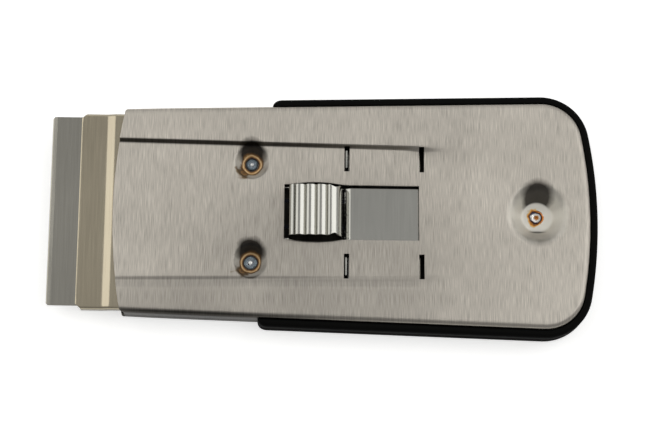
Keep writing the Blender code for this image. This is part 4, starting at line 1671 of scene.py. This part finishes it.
@dataclass
class LockSpring(SubAssembly):
    """Slotted spring under the slide: bowed foot, plate and the two upturned lock tabs."""

    body: ClassVar[Body] = Body.THUMB
    gauge: float = 0.3
    edge: float = 0.04
    top: float = 3.95
    half: float = 3.0
    foot: Point = (31.0, 1.1)
    foot_tip: Point = (29.0, 1.7)
    foot_blend: float = 0.3
    bend_x: float = 42.0
    past_bend: float = 1.5
    tongue_steps: int = 40
    slot: Point = (45.3, 58.6)
    slot_half: float = 2.3
    plate: Point = (58.8, 73.07)
    plate_half: float = 13.0
    plate_inner: float = 6.0
    plate_edge: float = 0.2
    plate_lines: Rows = (60.0, 72.0, 4)
    tab_y: float = 10.83
    tab_half: float = 1.775
    tab_bend: float = 0.33
    tab_steps: int = 5
    tab_top: float = 5.75
    shaded_to: float = 0.5

    def tongue(self) -> list[Point]:
        """Draw the top of the foot and the strip.

        Returns:
            Their side view up to the plate.
        """
        (tip_x, tip_z), (foot_x, foot_z) = self.foot_tip, self.foot
        line = []
        for x in spread(tip_x, self.bend_x + self.past_bend, self.tongue_steps):
            before = tip_z + (x - tip_x) * (foot_z - tip_z) / (foot_x - tip_x)
            after = foot_z + (x - foot_x) * (self.top - foot_z) / (self.bend_x - foot_x)
            line.append((x, min(soft_max(before, after, self.foot_blend), self.top)))
        return line + [(x, self.top) for x in (*self.slot, self.plate[0])]

    def lay_tongue(self, shape: bmesh.types.BMesh) -> None:
        """Lay out the strip and cut its slot.

        Args:
            shape: The empty spring.
        """
        line = self.tongue()
        ys = [-self.half, -self.slot_half, self.slot_half, self.half]
        sheet(shape, len(line), len(ys), lambda row, at: (line[row][0], ys[at], line[row][1]))
        slot = [
            f
            for f in shape.faces
            if self.slot[0] < f.calc_center_median().x < self.slot[1]
            and abs(f.calc_center_median().y) < self.slot_half
        ]
        bmesh.ops.delete(shape, geom=slot, context="FACES")

    def lay_plate(self, shape: bmesh.types.BMesh) -> None:
        """Lay out the plate behind the strip, and join both.

        Args:
            shape: The spring so far.
        """
        low, high = self.tab_y - self.tab_half, self.tab_y + self.tab_half
        right = [self.slot_half, self.half, self.plate_inner, low, high]
        right += [self.plate_half - self.plate_edge, self.plate_half]
        ys = [-y for y in reversed(right)] + right
        xs = [self.plate[0], *spread(*self.plate_lines), self.plate[1]]
        sheet(shape, len(xs), len(ys), lambda row, column: (xs[row], ys[column], self.top))
        bmesh.ops.remove_doubles(shape, verts=shape.verts, dist=TINY)

    def turn_up_tabs(self, shape: bmesh.types.BMesh) -> None:
        """Bend the lock tabs up at the plate's front edge.

        Args:
            shape: The spring so far.
        """
        front = self.plate[0]

        def at_tab(vert: bmesh.types.BMVert) -> bool:
            """Whether a vertex lies where a tab leaves the front edge."""
            reach = self.tab_half + TINY
            return vert.co.x < front + TINY and abs(abs(vert.co.y) - self.tab_y) < reach

        edges = [e for e in shape.edges if all(at_tab(v) for v in e.verts)]
        centre = (front, self.top + self.tab_bend)
        bend = arc(centre, self.tab_bend, -math.pi / 2, -math.pi, self.tab_steps)
        for x, z in [*bend[1:], (front - self.tab_bend, self.tab_top)]:
            grown = bmesh.ops.extrude_edge_only(shape, edges=edges)["geom"]
            for vert in of_kind(grown, bmesh.types.BMVert):
                vert.co.x, vert.co.z = x, z
            kept = of_kind(grown, bmesh.types.BMEdge)
            edges = [e for e in kept if all(abs(v.co.z - z) < TINY for v in e.verts)]

    def build(self, bright: SteelFinish, shaded: SteelFinish) -> None:
        """Lay out the spring, turn its tabs up, dress it and mount it.

        Args:
            bright: Finish of the plate and the tabs.
            shaded: Finish of the tongue, dark as painted shade.
        """
        shape = bmesh.new()
        self.lay_tongue(shape)
        self.lay_plate(shape)
        self.turn_up_tabs(shape)
        # The tongue takes the second finish, dark as painted shade; the plate and the tabs stay
        # bright.
        last = self.plate[0] - self.shaded_to
        for face in shape.faces:
            face.material_index = int(face.calc_center_median().x < last)
        face_out(shape)
        self.complete(
            shape,
            "slotted_lock_spring",
            "lock_spring",
            bright,
            shaded,
            gauge=self.gauge,
            edge=self.edge,
        )


@dataclass(frozen=True)
class Softbox:
    """Rectangular lamp that faces the scraper."""

    name: str
    place: Place
    size: Point
    level: float
    colour: str = "ffffff"

    def build(self) -> None:
        """Hang the lamp, as strong for its size as its level says."""
        lamp = bpy.data.lights.new(self.name, "AREA")
        lamp.shape = "RECTANGLE"
        lamp.size, lamp.size_y = self.size
        lamp.energy = self.level * math.pi * self.size[0] * self.size[1]
        lamp.color = linear(self.colour)[:3]
        item = bpy.data.objects.new(self.name, lamp)
        item.location = self.place
        item.rotation_euler = Vector(self.place).to_track_quat("Z", "Y").to_euler()
        bpy.context.scene.collection.objects.link(item)


@dataclass(frozen=True)
class Studio:
    """White table, soft lamps, dim room and the camera of the photograph.

    The lens, the sensor, the camera's distance and shift and the gap under the scraper are in
    millimetres, and the angles in degrees. The clipping distances, the table's half width and
    the lamps are in metres.
    """

    lens: float = 103.58
    sensor: float = 36.0
    clip: Point = (0.01, 20.0)
    distance: float = 373.38
    shift: Point = (-54.31, -0.481)
    tilt: float = 13.49
    roll: float = 1.58
    turn: float = -0.45
    floor_half: float = 3.0
    floor_gap: float = 0.02
    floor_colour: str = "f4f4f2"
    floor_roughness: float = 0.9
    seen_glow: float = 0.55
    mirrored_glow: float = 0.15
    dark_side: Point = (-0.7, 0.28)
    light_side: Point = (-0.2, 0.45)
    lamps: tuple[Softbox, ...] = (
        Softbox("left_softbox", (-1.1, 0.3, 1.05), (1.35, 1.3), 0.88, "fffefb"),
        Softbox("right_softbox", (1.1, 0.3, 1.05), (1.35, 1.3), 1.25),
        Softbox("rear_softbox", (0.0, 1.4, 0.9), (3.0, 1.0), 0.4),
    )

    def build(self) -> None:
        """Set up everything that isn't part of the scraper."""
        self.build_camera()
        self.build_floor()
        self.build_room()
        for lamp in self.lamps:
            lamp.build()

    def build_camera(self) -> None:
        """Place the camera that was fitted to the photograph's edges."""
        turned = Matrix.Rotation(math.radians(self.turn), 3, "Z")
        turned = turned @ Matrix.Rotation(math.radians(-self.tilt), 3, "X")
        turned = turned @ Matrix.Rotation(math.radians(self.roll), 3, "Y")
        back = turned.transposed()
        place = back @ Vector((0, 0, self.distance)) - Vector((*self.shift, 0))
        place.x -= DATUM
        lens = bpy.data.cameras.new("photo_camera")
        lens.lens = self.lens
        lens.sensor_width = self.sensor
        lens.sensor_fit = "HORIZONTAL"
        lens.clip_start, lens.clip_end = self.clip
        camera = bpy.data.objects.new("photo_camera", lens)
        camera.matrix_world = Matrix.Translation(place * MM) @ back.to_4x4()
        bpy.context.scene.collection.objects.link(camera)
        bpy.context.scene.camera = camera

    def build_floor(self) -> None:
        """Lay a table top that glows for the lens, less so in mirrors, and keeps the shadow."""
        shape = bmesh.new()
        bmesh.ops.create_grid(shape, x_segments=2, y_segments=2, size=self.floor_half)
        mesh = bpy.data.meshes.new("table_top")
        shape.to_mesh(mesh)
        shape.free()
        floor = bpy.data.objects.new("table_top", mesh)
        floor.location.z = -self.floor_gap * MM
        bpy.context.scene.collection.objects.link(floor)
        material, tree, shader = new_material("white_table_paper")
        rays = put(tree, "LightPath").outputs
        either = {0: rays["Is Glossy Ray"], 1: rays["Is Transmission Ray"]}
        in_mirrors = put(tree, "Math", either, operation="MAXIMUM").outputs[0]
        glows = [
            put(tree, "Math", {0: share, 1: glow}, operation="MULTIPLY").outputs[0]
            for share, glow in (
                (in_mirrors, self.mirrored_glow),
                (rays["Is Camera Ray"], self.seen_glow),
            )
        ]
        lift = put(tree, "Math", {0: glows[0], 1: glows[1]}, operation="MAXIMUM")
        sockets = {
            "Base Color": linear(self.floor_colour),
            "Roughness": self.floor_roughness,
            "Emission Color": (1, 1, 1, 1),
            "Emission Strength": lift.outputs[0],
        }
        wire(tree, shader, sockets)
        floor.data.materials.append(material)

    def build_room(self) -> None:
        """Dim room round the table, darkest on the side of the camera's tilt."""
        world = bpy.data.worlds.new("studio_room")
        bpy.context.scene.world = world
        world.use_nodes = True
        tree = world.node_tree
        way = put(tree, "TexCoord").outputs["Generated"]
        parts = put(tree, "SeparateXYZ", {0: way})
        (dark_y, dark), (light_y, light) = self.dark_side, self.light_side
        span = {0: parts.outputs["Y"], 1: dark_y, 2: light_y, 3: dark, 4: light}
        level = put(tree, "MapRange", span).outputs[0]
        wire(tree, tree.nodes["Background"], {"Color": (1, 1, 1, 1), "Strength": level})
        bpy.context.scene.view_settings.view_transform = "Standard"


def even_rings(colour: str, solid: float, reach: float) -> Rings:
    """Rings of one colour, solid up to one distance and faded out at another."""
    return (0.0, colour), (solid, colour), (reach, colour)


# Heat tint round a front weld: burnt brown at the nugget, straw, then a brown that fades out.
FRONT_RINGS = (
    (1.3, "2a1d12"),
    (1.5, "4a3018"),
    (1.68, "b88a50"),
    (1.85, "e4c596"),
    (2.02, "a07a4a"),
    (2.15, "6a5238"),
    (2.45, "6a5238"),
)
# Heat tint round the rear weld: a thin orange and straw ring.
REAR_RINGS = (
    (1.2, "5a3a1c"),
    (1.45, "c87f28"),
    (1.55, "e8b45c"),
    (1.65, "c9b48c"),
    (1.9, "d0ccc0"),
)
# Brown scorch mark beside each front weld.
SMEAR_RINGS = ((0.0, "4a3016"), (0.4, "a87838"), (0.65, "5c4426"), (1.0, "6c5432"), (1.5, "6c5432"))
# Painted shade on the front dimples' right walls, and the same in a browner grey on the rear one's.
FRONT_SHADE_RINGS = ((0.0, "120e0b"), (2.0, "1a1410"), (3.1, "2a221a"))
SHADE_RINGS = ((0.0, "241e19"), (2.3, "2c2620"), (3.6, "4a443c"))
# Dimple walls painted pale and matt, painted light to even out their shade; the rear floor paler.
FRONT_WALL_PAINTED_LIGHT = even_rings("d0cbc0", 2.9, 3.6)
REAR_WALL_PAINTED_LIGHT = even_rings("e4e0d4", 4.8, 6.4)
FLOOR_RINGS = even_rings("dedad0", 2.85, 3.1)
# Each tint: X, Y, its rings, then its strength and waver where they aren't the usual ones.
# The pale wall tints are painted light and the shade tints painted shade.
SHELL_TINTS = (
    *(Tint(FRONT_X, y, FRONT_WALL_PAINTED_LIGHT, 0.85, 0.05, dull=0.75) for y in FRONT_YS),
    *(Tint(FRONT_X, y, FRONT_SHADE_RINGS, 0.95, 0.08) for y in (11.9, -8.0)),
    *(Tint(x, y, SMEAR_RINGS, 0.9, 0.4) for x, y in ((38.1, 8.05), (37.95, -11.85))),
    *(Tint(FRONT_X, y, FRONT_RINGS, waver=0.08) for y in FRONT_YS),
    Tint(REAR_X, 0.0, REAR_WALL_PAINTED_LIGHT, 0.85, 0.05, dull=0.75),
    Tint(96.15, 3.8, SHADE_RINGS, 0.92, 0.06),
    Tint(REAR_X, 0.0, FLOOR_RINGS, 0.9, 0.0),
    Tint(96.1, 0.0, REAR_RINGS, waver=0.25),
)
# Each painted shade: X, Y, half length, half width and the share of light that it takes.
SHELL_PAINTED_SHADE = (
    # Broad painted shade over the left half, round the left front and over the right rail.
    PaintedShade(58, -13, 38, 26, 0.24),
    PaintedShade(22, -19, 20, 8, 0.2),
    PaintedShade(60, 16, 30, 12, 0.08),
    # Painted shade along the left wall, and along the panel's right step and its left one.
    PaintedShade(28, -20.7, 36, 0.8, 0.85, lean=-1.64),
    PaintedShade(24, 13.81, 58, 0.62, 0.8, lean=-0.85),
    PaintedShade(24, -13.6, 40, 0.6, 0.42, lean=0.94),
    # Painted shade at the left edge of the rear dimple's floor, and on the wall beside it.
    PaintedShade(REAR_X, -3.05, 2.2, 0.35, 0.7),
    PaintedShade(REAR_X, -4.4, 4.2, 2.6, 0.4),
)
# Front nugget: a painted highlight as its pip, blue-grey scale and a black rim of painted shade.
FRONT_NUGGET_WITH_PAINTED_LIGHT = (
    (0.0, "f4f4f0"),
    (0.22, "f0f0ec"),
    (0.4, "8e949a"),
    (0.9, "7c8890"),
    (1.12, "5a6468"),
    (1.3, "1c1a1a"),
    (2.0, "1c1a1a"),
)
# Rear nugget: a brown pip, bare metal, a blue ring and an orange rim.
REAR_NUGGET = (
    (0.0, "9a5a20"),
    (0.35, "b87838"),
    (0.55, "e6e2dc"),
    (0.85, "dcd8d0"),
    (1.0, "38405c"),
    (1.2, "4a2c16"),
    (1.4, "b86c20"),
    (2.0, "b86c20"),
)
NUGGET_TINTS = (
    *(Tint(FRONT_X, y, FRONT_NUGGET_WITH_PAINTED_LIGHT, waver=0.2) for y in FRONT_YS),
    Tint(REAR_X, 0.0, REAR_NUGGET, waver=0.3),
)

# Stainless sheet brushed across the handle with a belt: a satin grey with close, short lines that
# spread the lamps' light along the handle. The real lines are finer still and too fine to show,
# so they are drawn 0.07 mm wide and 3.2 mm long.
BRUSHED_STAINLESS = SteelFinish(
    "belt_brushed_stainless",
    "brushed_stainless",
    colour="bdb7ad",
    roughness=0.42,
    line_width=0.07,
    line_length=3.2,
    contrast=0.31,
    patch_contrast=0.09,
    stretch=0.85,
    tints=SHELL_TINTS,
    painted_shades=SHELL_PAINTED_SHADE,
)
# Inside of the pressings: the same sheet left dull by the drawing press, painted dark as shade.
SHADED_INSIDE_STAINLESS = SteelFinish(
    "painted_shade_inside_stainless",
    "brushed_stainless",
    colour="3a3834",
    roughness=0.5,
    line_width=0.4,
    contrast=0.15,
    stretch=0.3,
)
# Cold-rolled strip with a film of oil: smoother, browner, with faint rolling lines across it.
OILED_STEEL = SteelFinish(
    "oiled_cold_rolled_steel",
    "oiled_rolled_steel",
    colour="bcb29c",
    roughness=0.17,
    line_width=0.35,
    contrast=0.05,
    relief=0.0015,
    stretch=0.4,
)
# Bright-rolled spring strip: nearly a mirror, so it shows the lamps as clear bands. Its oval of
# painted shade darkens the gap along the torn edge behind the button.
SPRING_STEEL = SteelFinish(
    "bright_spring_steel",
    "polished_spring_steel",
    colour="bcbbb4",
    roughness=0.17,
    contrast=0.03,
    relief=0.001,
    stretch=0.3,
    painted_shades=(PaintedShade(58.1, 0, 0.75, 14, 0.5),),
)
# Spring strip painted blue-black along the tongue that bends, so that it hardly shines: painted
# shade.
SHADED_SPRING_STEEL = SteelFinish(
    "painted_shade_spring_steel",
    "polished_spring_steel",
    colour="1c1d22",
    roughness=0.3,
    contrast=0.1,
    relief=0.001,
    stretch=0.3,
)
# Hardened blade steel: flat grey, with fine grinding lines along the edge.
BLADE_STEEL = SteelFinish(
    "ground_blade_steel",
    "ground_blade_steel",
    colour="aeaba1",
    roughness=0.16,
    line_width=0.25,
    contrast=0.05,
    relief=0.0015,
    stretch=0.3,
)
# Spot-weld nugget: molten and set steel with blue-grey scale, grainy in every direction.
WELD_STEEL = SteelFinish(
    "scaled_weld_steel",
    "heat_tinted_weld",
    colour="a8a49c",
    roughness=0.2,
    line_width=0.18,
    line_length=0.18,
    contrast=0.35,
    relief=0.05,
    stretch=0.0,
    tints=NUGGET_TINTS,
)
# Soft PVC extruded as a channel: a deep black skin that shines only a little and unevenly.
EXTRUDED_VINYL = VinylFinish("extruded_black_vinyl", "black_vinyl")

# The punch's dimples in the top sheet, and those of the lower sheet that rise to meet them. Each:
# X, Y, radius of its floor, radius of its mouth, depth and how softly the mouth is rounded.
TOP_DIMPLES = (
    *(Dimple(FRONT_X, y, 2.0, 3.9, 3.1, 0.6) for y in FRONT_YS),
    Dimple(REAR_X, 0.0, 3.0, 5.7, 3.1, 1.1),
)
BOTTOM_DIMPLES = (
    *(Dimple(FRONT_X, y, 2.0, 4.4, 2.4, 0.6) for y in FRONT_YS),
    Dimple(REAR_X, 0.0, 3.0, 5.4, 2.4, 0.6),
)


def main() -> None:
    """Build the studio and every piece of the scraper in order."""
    logging.basicConfig(level=logging.INFO, format="%(name)s: %(message)s")
    Studio().build()
    finishes = Finishes()
    plan = HandlePlan()
    TopPressing(
        finishes,
        plan,
        name="top_pressing",
        node="top_shell",
        outer=6.7,
        inward=-1,
        rim=3.1,
        dimples=TOP_DIMPLES,
    ).build(BRUSHED_STAINLESS, SHADED_INSIDE_STAINLESS)
    Pressing(
        finishes,
        plan,
        name="bottom_pressing",
        node="bottom_shell",
        outer=0.0,
        inward=1,
        rim=2.9,
        dimples=BOTTOM_DIMPLES,
    ).build(BRUSHED_STAINLESS, SHADED_INSIDE_STAINLESS)
    EdgeGrip(finishes, plan).build(EXTRUDED_VINYL)
    SpotWelds(finishes).build(WELD_STEEL)
    BladeCarrier(finishes).build(OILED_STEEL)
    RazorBlade(finishes).build(BLADE_STEEL)
    ThumbSlide(finishes).build(SPRING_STEEL)
    LockSpring(finishes).build(SPRING_STEEL, SHADED_SPRING_STEEL)
    kept = {
        "blade_spine": BLADE_STEEL,
        "left_slide_weld": WELD_STEEL,
        "right_slide_weld": WELD_STEEL,
        "spring_weld": WELD_STEEL,
    }
    for node, finish in kept.items():
        finishes.dress(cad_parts[node], finish)
        LOG.info("%s: kept from the frame", node)


if __name__ == "__main__":
    main()
